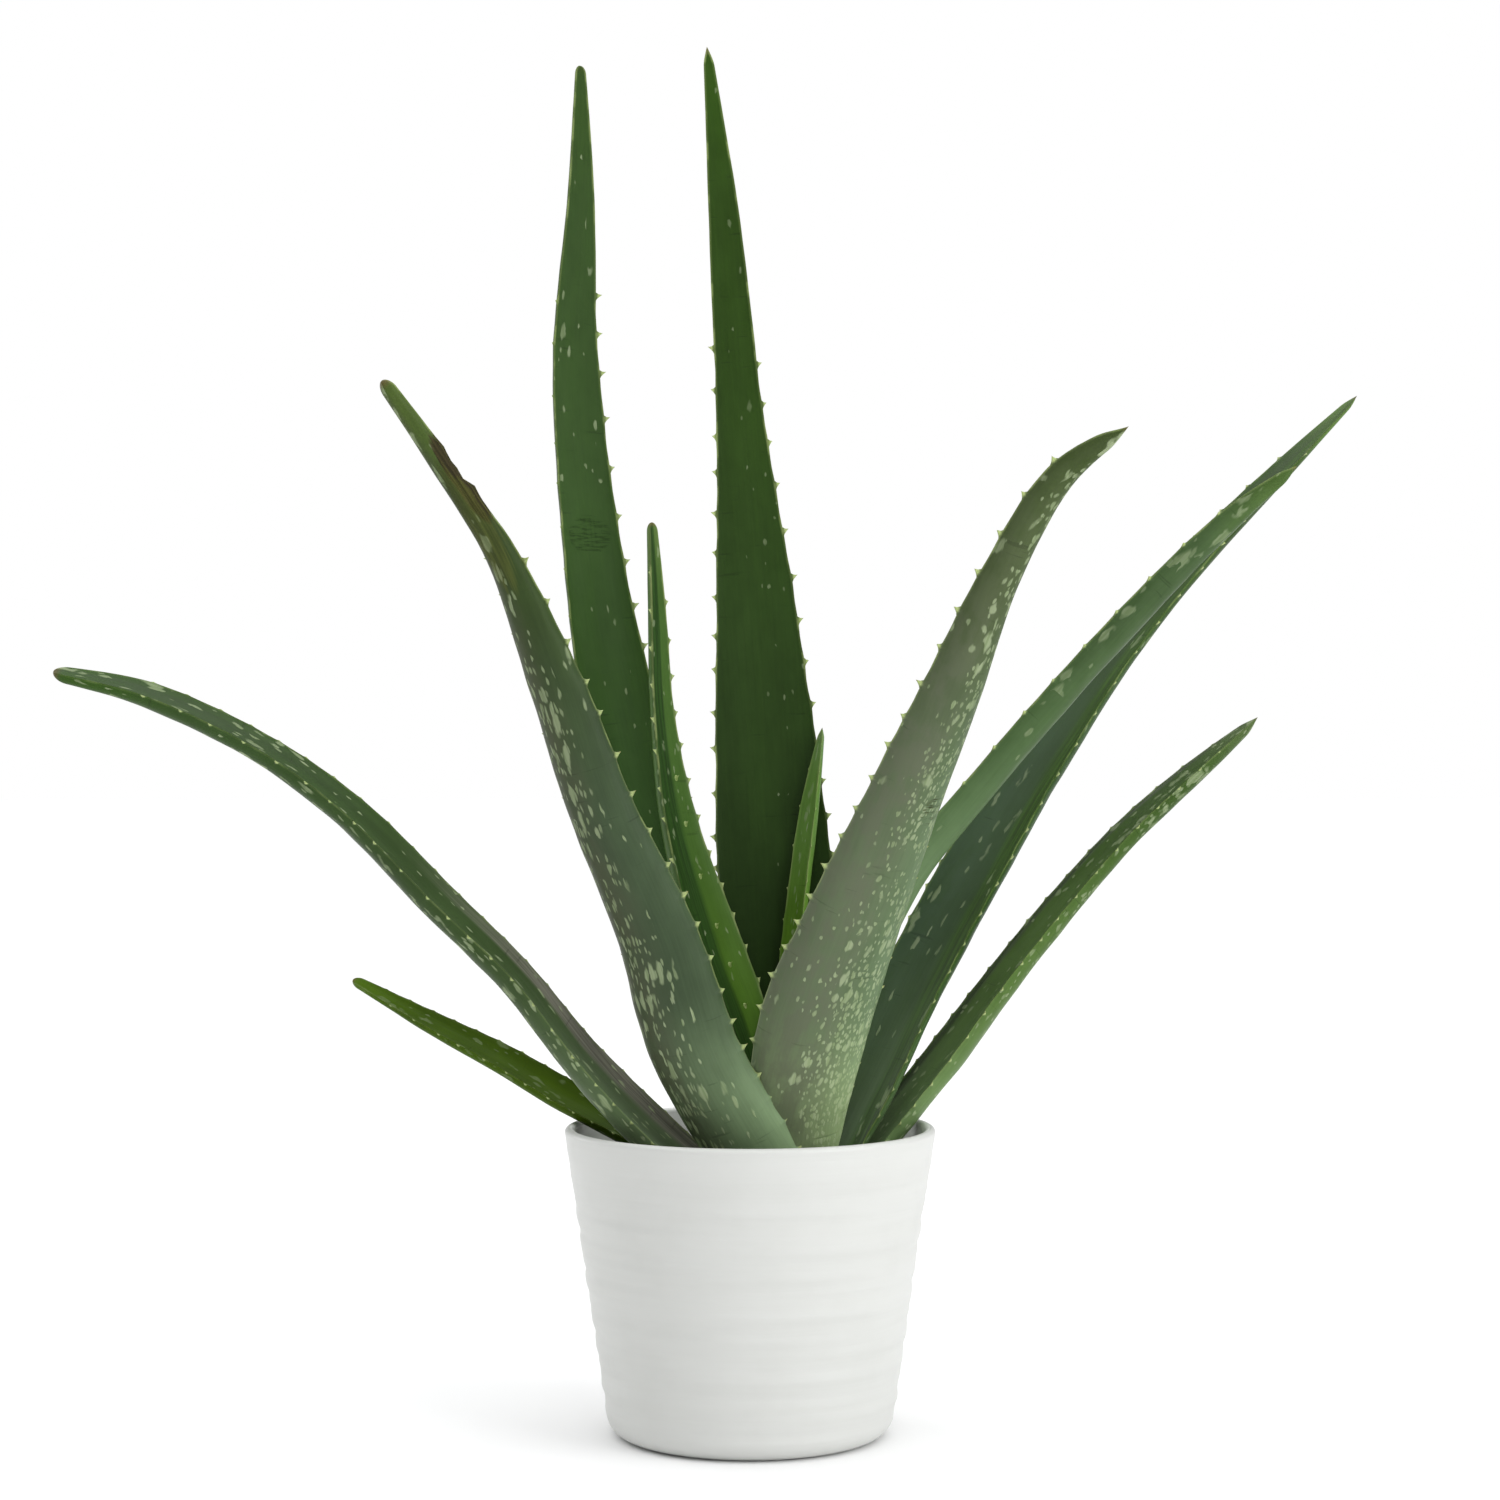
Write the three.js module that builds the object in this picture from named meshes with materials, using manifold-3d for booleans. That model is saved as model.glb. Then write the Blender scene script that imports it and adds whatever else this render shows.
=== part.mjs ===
// A potted aloe: eleven thick leaves in a rosette on a short stem, in potting soil, in a tapered ceramic pot.
// Millimetres, +Z up. The origin is the centre of the pot's flat base, and -Y is the plant's front.
import * as THREE from "three";
import { ParametricGeometry } from "three/addons/geometries/ParametricGeometry.js";
import { mergeVertices } from "three/addons/utils/BufferGeometryUtils.js";
import Module from "manifold-3d";

const wasm = await Module();
wasm.setup();

// ---- Driving dimensions ----
const GAP = 0.3; // between pieces that touch on the real plant

const POT = {
  height: 107,
  rimRadius: 65,
  footRadius: 49.3, // of the wall's straight line, where it would reach the ground
  footRound: 9,
  wall: 3.4,
  floor: 5,
  insideRound: 8,
  sides: 56,
};

const SOIL_TOP = 72;

const STEM = {
  x: 14,
  y: 0,
  foot: 50,
  top: 98,
  footRadius: 9,
  topRadius: 5.5,
  sides: 20,
};

const LEAF_RINGS = 22;
const LEAF_SIDES = 10;
const TIP_CROWDING = 1.5; // above 1, a leaf's rings lie closer together towards its tip

// Each leaf is lofted through stations [x, y, z, width] of its middle, from its foot on the stem to its tip.
// depth is its thickness where it is widest, and channel the hollow of its upper side there. faceFoot and faceTip are the
// ways its upper side looks at either end. The innermost leaf comes first: each foot wraps those before it.
const LEAVES = [
  {
    name: "heart_leaf",
    depth: 6,
    channel: 0.8,
    faceFoot: [-0.75, -0.6, 0.2],
    faceTip: [-0.7, -0.7, 0.2],
    stations: [
      [14, 2, 97, 12],
      [13, 6, 128, 12],
      [14, 9, 158, 10.5],
      [17, 12, 188, 9],
      [21, 16, 218, 7.5],
      [25.5, 20, 246, 1.6],
    ],
  },
  {
    name: "inner_left_leaf",
    depth: 9,
    channel: 1.5,
    faceFoot: [0.8, -0.55, 0.25],
    faceTip: [0.75, -0.65, 0.1],
    stations: [
      [12, 0, 90, 18],
      [2, 0, 130, 25],
      [-13, 2, 172, 26],
      [-25, 7, 212, 18],
      [-31, 13, 250, 11],
      [-33, 18, 286, 8],
      [-35, 22, 319, 4],
    ],
  },
  {
    name: "tall_back_leaf",
    depth: 10,
    channel: 2,
    faceFoot: [0, -1, 0.3],
    faceTip: [0.15, -1, 0.1],
    stations: [
      [15, 4, 86, 24],
      [12, 14, 150, 40],
      [7, 21, 220, 39],
      [2, 28, 291, 28],
      [-4, 35, 363, 17],
      [-9.5, 42, 433, 11],
      [-15.5, 48, 494, 3],
    ],
  },
  {
    name: "tall_left_leaf",
    depth: 9,
    channel: 2,
    faceFoot: [0.4, -0.85, 0.3],
    faceTip: [0.5, -0.85, 0],
    stations: [
      [9, 4, 86, 20],
      [-15, 16, 146, 31],
      [-36, 28, 209, 33],
      [-51.5, 40, 270, 28],
      [-60.5, 50, 329, 22],
      [-65, 60, 385, 18],
      [-63.5, 71, 442, 11],
      [-64, 80, 494, 4],
    ],
  },
  {
    name: "middle_right_leaf",
    depth: 8,
    channel: 1.5,
    faceFoot: [-0.5, 0.5, 0.6],
    faceTip: [-0.5, 0.5, 0.7],
    stations: [
      [19, 1, 90, 16],
      [30, 3, 140, 18],
      [53, 4, 190, 17],
      [82, 2, 227, 15],
      [111, -1, 261, 14],
      [143.5, -6, 296, 13],
      [167, -10, 319, 10],
      [188, -14, 335.5, 3],
    ],
  },
  {
    name: "front_right_leaf",
    depth: 14,
    channel: 4,
    faceFoot: [-0.3, 0.75, 0.5],
    faceTip: [-0.5, 0.6, 0.6],
    stations: [
      [16, -4, 80, 24],
      [17, -19, 114, 36],
      [24, -33, 150, 42],
      [37, -48, 186, 37],
      [51, -63, 222, 29],
      [65.5, -77, 257, 23],
      [79.5, -90, 292, 16],
      [97, -102, 323, 12],
      [118, -112, 338.5, 4],
    ],
  },
  {
    name: "long_right_leaf",
    depth: 9,
    channel: 3,
    faceFoot: [-0.6, -0.6, 0.6],
    faceTip: [-0.5, -0.5, 0.7],
    stations: [
      [21, 4, 79, 20],
      [38, 16, 114, 30],
      [57, 27, 152, 31],
      [79.5, 38, 192, 32],
      [102.5, 50, 229, 28],
      [135, 64, 273, 20],
      [166, 78, 309, 16],
      [196, 92, 339, 12],
      [233, 110, 374, 3],
    ],
  },
  {
    name: "front_left_leaf",
    depth: 13,
    channel: 4,
    faceFoot: [0.4, 0.7, 0.5],
    faceTip: [0.5, 0.8, 0.3],
    stations: [
      [12, -5, 78, 24],
      [-1, -19, 103, 37],
      [-19, -31, 136, 36],
      [-32, -42, 178, 31],
      [-49, -54, 217.5, 26],
      [-62.5, -66, 257, 21],
      [-79.5, -80, 300, 12],
      [-100, -92, 332, 8],
      [-116, -100, 355, 5],
    ],
  },
  {
    name: "low_right_leaf",
    depth: 9,
    channel: 2,
    faceFoot: [-0.7, -0.35, 0.65],
    faceTip: [-0.6, -0.3, 0.7],
    stations: [
      [23, 2, 74, 15],
      [45, 12, 101.5, 20],
      [67, 18, 128, 20],
      [89, 25, 156, 18],
      [111, 32, 182, 17],
      [135, 38, 208, 15],
      [159.5, 44, 229.5, 12],
      [185, 50, 250, 3],
    ],
  },
  {
    name: "long_left_leaf",
    depth: 11,
    channel: 3,
    faceFoot: [0.6, -0.3, 0.7],
    faceTip: [0.2, -0.4, 0.9],
    stations: [
      [6, -3, 72, 17],
      [-28, -12, 101.5, 26],
      [-55.5, -20, 130.5, 23],
      [-79, -28, 161, 19],
      [-105, -35, 187.5, 19],
      [-133.5, -42, 217, 17],
      [-163, -49, 239, 14],
      [-198, -55, 256, 12],
      [-229.5, -60, 263.5, 6],
    ],
  },
  {
    name: "short_left_leaf",
    depth: 7,
    channel: 1.5,
    faceFoot: [0.4, -0.5, 0.8],
    faceTip: [0.3, -0.6, 0.8],
    stations: [
      [6, 4, 75, 15],
      [-33, 8, 99, 16],
      [-64, 13, 115, 15],
      [-88.5, 18, 128.5, 13],
      [-114, 23, 141, 9.5],
      [-142, 28, 155.5, 4],
    ],
  },
];

const COLOURS = {
  ceramic: new THREE.MeshStandardMaterial({ color: 0xe9eae6, roughness: 0.5 }),
  soil: new THREE.MeshStandardMaterial({ color: 0x2e2219, roughness: 1 }),
  stem: new THREE.MeshStandardMaterial({ color: 0x8b8a55, roughness: 0.8 }),
  leaf: new THREE.MeshStandardMaterial({ color: 0x3d5c33, roughness: 0.5 }),
};

// ---- Solids ----

/** A closed geometry as a manifold-3d solid, whichever way round its faces were wound. */
function solidOf(geometry) {
  const bare = geometry.index ? geometry.toNonIndexed() : geometry.clone();
  bare.deleteAttribute("normal");
  bare.deleteAttribute("uv");
  const welded = mergeVertices(bare, 1e-3);
  const triVerts = new Uint32Array(welded.index.array);
  const vertProperties = welded.attributes.position.array;
  const solid = new wasm.Manifold(new wasm.Mesh({ numProp: 3, vertProperties, triVerts }));
  if (solid.volume() > 0) return solid;
  for (let i = 0; i < triVerts.length; i += 3) {
    [triVerts[i + 1], triVerts[i + 2]] = [triVerts[i + 2], triVerts[i + 1]];
  }
  return new wasm.Manifold(new wasm.Mesh({ numProp: 3, vertProperties, triVerts }));
}

/** The largest separate body of a solid: a cut can leave slivers beside it. */
function largestBody(solid) {
  return solid.decompose().reduce((best, body) => (body.volume() > best.volume() ? body : best));
}

/** A solid as a named mesh. */
function meshOf(name, solid, material) {
  const { vertProperties, triVerts } = solid.getMesh();
  const geometry = new THREE.BufferGeometry();
  geometry.setAttribute("position", new THREE.BufferAttribute(vertProperties, 3));
  geometry.setIndex(new THREE.BufferAttribute(triVerts, 1));
  geometry.computeVertexNormals();
  const mesh = new THREE.Mesh(geometry, material);
  mesh.name = name;
  return mesh;
}

/** A solid of revolution about +Z through (x, y), from a profile of [radius, height] points. */
function turned(profile, sides, x = 0, y = 0) {
  const points = profile.map(([r, z]) => new THREE.Vector2(r, z));
  const lathe = new THREE.LatheGeometry(points, sides);
  return solidOf(lathe.rotateX(Math.PI / 2).translate(x, y, 0));
}

/** Points of an arc about a centre, with both ends, angles in degrees. */
function arc(centreR, centreZ, radius, from, to, steps) {
  const points = [];
  for (let i = 0; i <= steps; i++) {
    const angle = THREE.MathUtils.degToRad(from + ((to - from) * i) / steps);
    points.push([centreR + radius * Math.cos(angle), centreZ + radius * Math.sin(angle)]);
  }
  return points;
}

// ---- Pot, soil and stem ----

/** The pot wall's outer radius at a height: a straight taper. */
function wallRadius(z) {
  return POT.footRadius + ((POT.rimRadius - POT.footRadius) * z) / POT.height;
}

function potSolid() {
  const lip = POT.wall / 2;
  const lipZ = POT.height - lip;
  const foot = POT.footRound;
  const inside = POT.insideRound;
  const insideRadius = wallRadius(POT.floor + inside) - POT.wall;
  return turned(
    [
      [0, 0],
      ...arc(wallRadius(foot) - foot, foot, foot, -90, 0, 5),
      ...arc(wallRadius(lipZ) - lip, lipZ, lip, 0, 180, 6),
      ...arc(insideRadius - inside, POT.floor + inside, inside, 0, -90, 4),
      [0, POT.floor],
    ],
    POT.sides,
  );
}

/** The soil's block, made larger all round by grow. */
function soilSolid(grow = 0) {
  const bottom = POT.floor + GAP - grow;
  const shoulder = POT.floor + POT.insideRound;
  const radius = (z) => wallRadius(z) - POT.wall - 2 * GAP + grow;
  return turned(
    [
      [0, bottom],
      [radius(shoulder) - POT.insideRound, bottom],
      [radius(shoulder), shoulder],
      [radius(SOIL_TOP), SOIL_TOP + grow],
      [0, SOIL_TOP + grow],
    ],
    POT.sides,
  );
}

/** The short stem, with a domed top, made larger all round by grow. */
function stemSolid(grow = 0) {
  const { foot, top, footRadius, topRadius } = STEM;
  return turned(
    [
      [0, foot - grow],
      [footRadius + grow, foot - grow],
      ...arc(0, top - topRadius, topRadius + grow, 0, 90, 4),
    ],
    STEM.sides,
    STEM.x,
    STEM.y,
  );
}

// ---- Leaves ----

/** The Catmull-Rom value between rows of numbers, as t goes from 0 at the first row to 1 at the last. */
function between(rows, t) {
  const last = rows.length - 1;
  const i = Math.min(Math.floor(t * last), last - 1);
  const f = t * last - i;
  const [a, b, c, d] = [i - 1, i, i + 1, i + 2].map((k) => rows[THREE.MathUtils.clamp(k, 0, last)]);
  return b.map(
    (_, k) =>
      b[k] +
      0.5 * f * (c[k] - a[k]) +
      0.5 * f * f * (2 * a[k] - 5 * b[k] + 4 * c[k] - d[k]) +
      0.5 * f * f * f * (3 * b[k] - a[k] - 3 * c[k] + d[k]),
  );
}

/** A leaf's middle at t, its width there, and its axes: along it, across it, and out of its upper side. */
function sectionAt(leaf, t) {
  const step = 1e-3;
  const [x, y, z, width] = between(leaf.stations, t);
  const ahead = new THREE.Vector3(...between(leaf.stations, Math.min(t + step, 1)));
  const behind = new THREE.Vector3(...between(leaf.stations, Math.max(t - step, 0)));
  const along = ahead.sub(behind).normalize();
  const upper = new THREE.Vector3(...leaf.faceFoot).lerp(new THREE.Vector3(...leaf.faceTip), t);
  upper.addScaledVector(along, -upper.dot(along)).normalize();
  const across = new THREE.Vector3().crossVectors(upper, along);
  return { centre: new THREE.Vector3(x, y, z), width, along, across, upper };
}

/**
 * A leaf as one closed solid. Its section is a crescent: the lower side bulges by depth and the upper side is
 * hollowed by channel, both shrinking as the leaf narrows. A leaf made larger all round by grow has no hollow.
 */
function leafSolid(leaf, grow = 0) {
  const widest = Math.max(...leaf.stations.map((station) => station[3]));
  const point = (u, v, target) => {
    const row = Math.round(v * LEAF_RINGS);
    const pole = row === 0 || row === LEAF_RINGS;
    const t = 1 - Math.pow(1 - Math.max(row - 1, 0) / (LEAF_RINGS - 1), TIP_CROWDING);
    const { centre, width, along, across, upper } = sectionAt(leaf, t);
    const size = width / widest;
    const depth = leaf.depth * Math.pow(size, 0.7);
    const hollow = grow > 0 ? 0 : leaf.channel * size * size;
    const turn = u * 2 * Math.PI;
    const bulge = Math.sin(turn) > 0 ? -hollow : depth;
    target.copy(centre).addScaledVector(along, row <= 1 ? -grow : row === LEAF_RINGS ? grow : 0);
    if (pole) return;
    target.addScaledVector(across, Math.cos(turn) * (width / 2 + grow));
    target.addScaledVector(upper, depth / 4 + Math.sin(turn) * (bulge + grow));
  };
  return solidOf(new ParametricGeometry(point, LEAF_SIDES, LEAF_RINGS));
}

// ---- The plant ----
const plant = new THREE.Group();
plant.add(meshOf("pot", potSolid(), COLOURS.ceramic));
plant.add(meshOf("soil", soilSolid().subtract(stemSolid(GAP)), COLOURS.soil));
plant.add(meshOf("stem", stemSolid(), COLOURS.stem));

const cutters = [stemSolid(GAP), soilSolid(GAP)];
for (const leaf of LEAVES) {
  const cut = cutters.reduce((solid, cutter) => solid.subtract(cutter), leafSolid(leaf));
  plant.add(meshOf(leaf.name, largestBody(cut), COLOURS.leaf));
  cutters.push(leafSolid(leaf, GAP));
}

export default plant;
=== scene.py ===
"""A potted aloe: eleven flecked, toothed leaves in a rosette, in potting soil, in an off-white ceramic pot.

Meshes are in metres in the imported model's frame: +Z up, the origin under the pot, -Y the plant's front. Sizes
of the pot, the soil, the stem and the leaves are in millimetres, as on the drawing, and become metres where
the points are made. The skin's patterns and the studio are in metres throughout.
"""

from __future__ import annotations

import logging
import math
from dataclasses import dataclass, field
from enum import Enum
from typing import ClassVar

import bpy
import numpy as np
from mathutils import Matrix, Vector

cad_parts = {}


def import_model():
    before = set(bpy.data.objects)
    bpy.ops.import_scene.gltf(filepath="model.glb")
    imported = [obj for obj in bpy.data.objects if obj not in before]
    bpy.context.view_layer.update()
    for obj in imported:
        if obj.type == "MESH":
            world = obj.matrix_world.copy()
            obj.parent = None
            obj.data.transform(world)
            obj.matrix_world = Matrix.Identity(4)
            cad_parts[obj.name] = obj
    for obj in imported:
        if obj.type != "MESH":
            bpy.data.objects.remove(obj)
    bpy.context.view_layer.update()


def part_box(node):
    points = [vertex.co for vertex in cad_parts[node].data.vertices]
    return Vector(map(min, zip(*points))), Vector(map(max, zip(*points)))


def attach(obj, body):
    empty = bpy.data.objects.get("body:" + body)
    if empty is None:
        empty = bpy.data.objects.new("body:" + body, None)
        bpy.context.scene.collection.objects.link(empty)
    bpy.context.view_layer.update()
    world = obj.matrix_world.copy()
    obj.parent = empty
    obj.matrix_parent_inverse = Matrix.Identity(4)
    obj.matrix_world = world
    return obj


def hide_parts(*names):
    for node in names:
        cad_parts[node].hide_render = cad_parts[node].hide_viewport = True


log = logging.getLogger("aloe")

MM = 0.001
FULL_TURN = 2.0 * math.pi
BODY = "root"
Colour = tuple[float, float, float]
Point = tuple[float, float, float]


# ---------------------------------------------------------------- shader maths


class Value:
    """A number on a shader socket. Ordinary arithmetic on it adds Math nodes."""

    def __init__(self, shader: Shader, socket: bpy.types.NodeSocket) -> None:
        """Wraps one output socket of a shader's tree."""
        self.shader = shader
        self.socket = socket

    def math(self, operation: str, *inputs: Value | float, clamp: bool = False) -> Value:
        """One Math node.

        Args:
            operation: the Math node's operation.
            inputs: what goes on its sockets, in order.
            clamp: whether the result is kept between 0 and 1.

        Returns:
            The node's result.
        """
        settings = {"operation": operation, "use_clamp": clamp}
        return self.shader.value("ShaderNodeMath", settings, dict(enumerate(inputs)))

    def __add__(self, other: Value | float) -> Value:
        """self + other."""
        return self.math("ADD", self, other)

    def __sub__(self, other: Value | float) -> Value:
        """self - other."""
        return self.math("SUBTRACT", self, other)

    def __rsub__(self, other: float) -> Value:
        """other - self."""
        return self.math("SUBTRACT", other, self)

    def __mul__(self, other: Value | float) -> Value:
        """self * other."""
        return self.math("MULTIPLY", self, other)

    def __truediv__(self, other: Value | float) -> Value:
        """self / other."""
        return self.math("DIVIDE", self, other)

    def __lt__(self, other: Value | float) -> Value:
        """1 where self is less than other, else 0."""
        return self.math("LESS_THAN", self, other)

    def __abs__(self) -> Value:
        """The size of self, without its sign."""
        return self.math("ABSOLUTE", self)

    __radd__ = __add__
    __rmul__ = __mul__

    def clamped(self) -> Value:
        """self kept between 0 and 1."""
        return self.math("ADD", self, 0.0, clamp=True)

    def larger(self, other: Value | float) -> Value:
        """The larger of self and other."""
        return self.math("MAXIMUM", self, other)

    def ramp(self, start: float, end: float) -> Value:
        """A smooth step on self.

        Args:
            start: where the step is still 0. It may be the larger of the two.
            end: where the step has reached 1.

        Returns:
            The step, from 0 to 1.
        """
        settings = {"interpolation_type": "SMOOTHSTEP"}
        low, high = min(start, end), max(start, end)
        step = self.shader.value("ShaderNodeMapRange", settings, {0: self, 1: low, 2: high})
        return step if start < end else 1 - step


Input = Value | float | tuple


class Shader:
    """A material's or the world's tree of nodes, and the one way in which nodes are added to it."""

    def __init__(self, name: str, world: bpy.types.World | None = None) -> None:
        """Empties the world's tree, or makes a new material of this name with an empty tree.

        Args:
            name: the material's name.
            world: the world, where the tree is a world's.
        """
        self.owner = world or bpy.data.materials.new(name)
        self.owner.use_nodes = True
        self.tree = self.owner.node_tree
        self.tree.nodes.clear()

    def node(
        self, kind: str, settings: dict[str, object], inputs: dict[str | int, Input]
    ) -> bpy.types.Node:
        """Adds a node.

        Args:
            kind: the node's type.
            settings: its properties, which are set first.
            inputs: the value or link of each socket, by the socket's name or number.

        Returns:
            The new node.
        """
        made = self.tree.nodes.new(kind)
        for name, setting in settings.items():
            setattr(made, name, setting)
        for key, given in inputs.items():
            if isinstance(given, Value):
                self.tree.links.new(given.socket, made.inputs[key])
            else:
                made.inputs[key].default_value = given
        return made

    def value(
        self,
        kind: str,
        settings: dict[str, object],
        inputs: dict[str | int, Input],
        output: str | int = 0,
    ) -> Value:
        """Adds a node and returns one of its outputs.

        Args:
            kind: the node's type.
            settings: its properties, which are set first.
            inputs: the value or link of each socket, by the socket's name or number.
            output: the output's name or number.

        Returns:
            The output.
        """
        return Value(self, self.node(kind, settings, inputs).outputs[output])

    def attribute(self, name: str) -> Value:
        """A number stored on the mesh under this name."""
        return self.value("ShaderNodeAttribute", {"attribute_name": name}, {}, "Fac")

    def uv(self, name: str) -> tuple[Value, Value]:
        """The two coordinates of a UV map."""
        first, second, _ = self.split(self.value("ShaderNodeUVMap", {"uv_map": name}, {}))
        return first, second

    def place(self) -> Value:
        """The point on the piece, in metres."""
        return self.value("ShaderNodeTexCoord", {}, {}, "Object")

    def split(self, vector: Value) -> tuple[Value, Value, Value]:
        """A vector's three parts."""
        x, y, z = self.node("ShaderNodeSeparateXYZ", {}, {0: vector}).outputs
        return Value(self, x), Value(self, y), Value(self, z)

    def vector(self, x: Input, y: Input, z: Input = 0.0) -> Value:
        """A vector of three numbers."""
        return self.value("ShaderNodeCombineXYZ", {}, {0: x, 1: y, 2: z})

    def noise(self, at: Value, scale: float, detail: float = 2.0, roughness: float = 0.5) -> Value:
        """Smooth noise about 0.5.

        Args:
            at: where it is read.
            scale: how many features there are to a unit of at.
            detail: how many finer octaves are added.
            roughness: how strong the finer octaves are.

        Returns:
            The noise, mostly between 0.25 and 0.75.
        """
        inputs = {"Vector": at, "Scale": scale, "Detail": detail, "Roughness": roughness}
        return self.value("ShaderNodeTexNoise", {"noise_dimensions": "3D"}, inputs)

    def cells(self, at: Value, scale: float = 1.0, flat: bool = False) -> tuple[Value, Value, Value]:
        """Scattered points.

        Args:
            at: where they are read.
            scale: how many points there are to a unit of at.
            flat: whether only the first two coordinates count.

        Returns:
            The distance to the nearest point, in point spacings, and two random numbers from 0 to 1 for
            that point.
        """
        settings = {"voronoi_dimensions": "2D" if flat else "3D", "feature": "F1"}
        made = self.node("ShaderNodeTexVoronoi", settings, {"Vector": at, "Scale": scale})
        lots = self.node("ShaderNodeSeparateColor", {}, {0: Value(self, made.outputs["Color"])})
        distance = Value(self, made.outputs["Distance"])
        return distance, Value(self, lots.outputs[0]), Value(self, lots.outputs[1])

    def mix(self, low: Value | Colour, high: Value | Colour, factor: Value | float) -> Value:
        """A blend of two colours.

        Args:
            low: the colour where factor is 0.
            high: the colour where factor is 1.
            factor: how much of high there is.

        Returns:
            The blended colour.
        """
        low = low if isinstance(low, Value) else (*low, 1.0)
        high = high if isinstance(high, Value) else (*high, 1.0)
        inputs = {0: factor, 6: low, 7: high}
        return self.value("ShaderNodeMix", {"data_type": "RGBA", "clamp_factor": True}, inputs, 2)

    def shade(self, colour: Value, amount: Value | float) -> Value:
        """A colour made darker or lighter by multiplying it."""
        settings = {"operation": "SCALE"}
        return self.value("ShaderNodeVectorMath", settings, {0: colour, "Scale": amount})

    def finish(
        self, colour: Value, roughness: Value | float, height: Value | None = None, **constants: Input
    ) -> bpy.types.Material:
        """Ends the tree in a Principled surface.

        Args:
            colour: the base colour.
            roughness: the roughness.
            height: how far the surface stands out at each point, in metres.
            constants: other sockets of the surface, by name with _ for a space.

        Returns:
            The finished material.
        """
        inputs: dict[str | int, Input] = {"Base Color": colour, "Roughness": roughness}
        if height is not None:
            bump = {"Height": height, "Strength": 1.0, "Distance": 1.0}
            inputs["Normal"] = self.value("ShaderNodeBump", {}, bump)
        for name, given in constants.items():
            inputs[name.replace("_", " ")] = given
        surface = self.value("ShaderNodeBsdfPrincipled", {}, inputs)
        self.node("ShaderNodeOutputMaterial", {}, {"Surface": surface})
        return self.owner


def scaled(colour: Colour, amount: float) -> Colour:
    """A plain colour made darker or lighter by multiplying it."""
    return tuple(amount * part for part in colour)


# ---------------------------------------------------------------- surfaces


def placed(name: str, data: bpy.types.ID) -> bpy.types.Object:
    """Puts a mesh, a light or a camera into the scene.

    Args:
        name: the object's name.
        data: what it shows.

    Returns:
        The new object, at the origin.
    """
    made = bpy.data.objects.new(name, data)
    bpy.context.scene.collection.objects.link(made)
    return made


def ring_grid(rows: int, columns: int) -> tuple[np.ndarray, np.ndarray, np.ndarray]:
    """Numbers the points of a grid whose columns close on themselves, and joins them into quads.

    A quad's corners are a point, the next point round, and the same two on the next row.

    Args:
        rows: how many rings there are.
        columns: how many points there are to a ring.

    Returns:
        Each point's number, the number of the next point round, and the quads.
    """
    ids = np.arange(rows * columns).reshape(rows, columns)
    after = np.roll(ids, -1, axis=1)
    quads = np.stack([ids[:-1], after[:-1], after[1:], ids[1:]], axis=-1)
    return ids, after, quads.reshape(-1, 4)


@dataclass
class Sheet:
    """A surface on a grid of rows by columns, with what its material reads.

    The columns run once round the piece and close on themselves. The first and the last row are closed by a
    fan to their mean point. maps hold a value for both edges of each column, so that a map may break at a
    seam, and marks hold a number for each point.
    """

    points: np.ndarray
    maps: dict[str, np.ndarray] = field(default_factory=dict)
    marks: dict[str, np.ndarray] = field(default_factory=dict)

    def object(self, name: str, material: bpy.types.Material) -> bpy.types.Object:
        """Puts the surface into a mesh.

        Args:
            name: the piece's name.
            material: its finish.

        Returns:
            The new object, at the origin.
        """
        rows, columns, _ = self.points.shape
        ids, after, quads = ring_grid(rows, columns)
        first_pole, last_pole = rows * columns, rows * columns + 1
        first = np.stack([np.full(columns, first_pole), after[0], ids[0]], axis=-1)
        last = np.stack([np.full(columns, last_pole), ids[-1], after[-1]], axis=-1)
        poles = self.points[[0, -1]].mean(axis=1)
        points = np.concatenate([self.points.reshape(-1, 3), poles])
        mesh = bpy.data.meshes.new(name)
        mesh.from_pydata(points.tolist(), [], quads.tolist() + first.tolist() + last.tolist())
        mesh.polygons.foreach_set("use_smooth", np.ones(len(mesh.polygons), dtype=bool))
        for key, edges in self.maps.items():
            self._lay_map(mesh, key, edges)
        for key, mark in self.marks.items():
            numbers = np.concatenate([mark.ravel(), mark[[0, -1]].mean(axis=1)])
            layer = mesh.attributes.new(key, "FLOAT", "POINT")
            layer.data.foreach_set("value", numbers.astype(np.float32))
        mesh.validate()
        mesh.materials.append(material)
        return placed(name, mesh)

    @staticmethod
    def _lay_map(mesh: bpy.types.Mesh, name: str, edges: np.ndarray) -> None:
        """Writes a UV map: a quad's corners read their own edges, and a fan's middle reads their mean.

        Args:
            mesh: the mesh with its quads, the first fan and the last fan, in that order.
            name: the map's name.
            edges: the two coordinates by row, column and edge.
        """
        left, right = edges[:, :, 0], edges[:, :, 1]
        quads = np.stack([left[:-1], right[:-1], right[1:], left[1:]], axis=2).reshape(-1, 2)
        first = np.stack([(left[0] + right[0]) / 2, right[0], left[0]], axis=1).reshape(-1, 2)
        last = np.stack([(left[-1] + right[-1]) / 2, left[-1], right[-1]], axis=1).reshape(-1, 2)
        loops = np.concatenate([quads, first, last]).astype(np.float32)
        mesh.uv_layers.new(name=name).uv.foreach_set("vector", loops.ravel())


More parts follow.
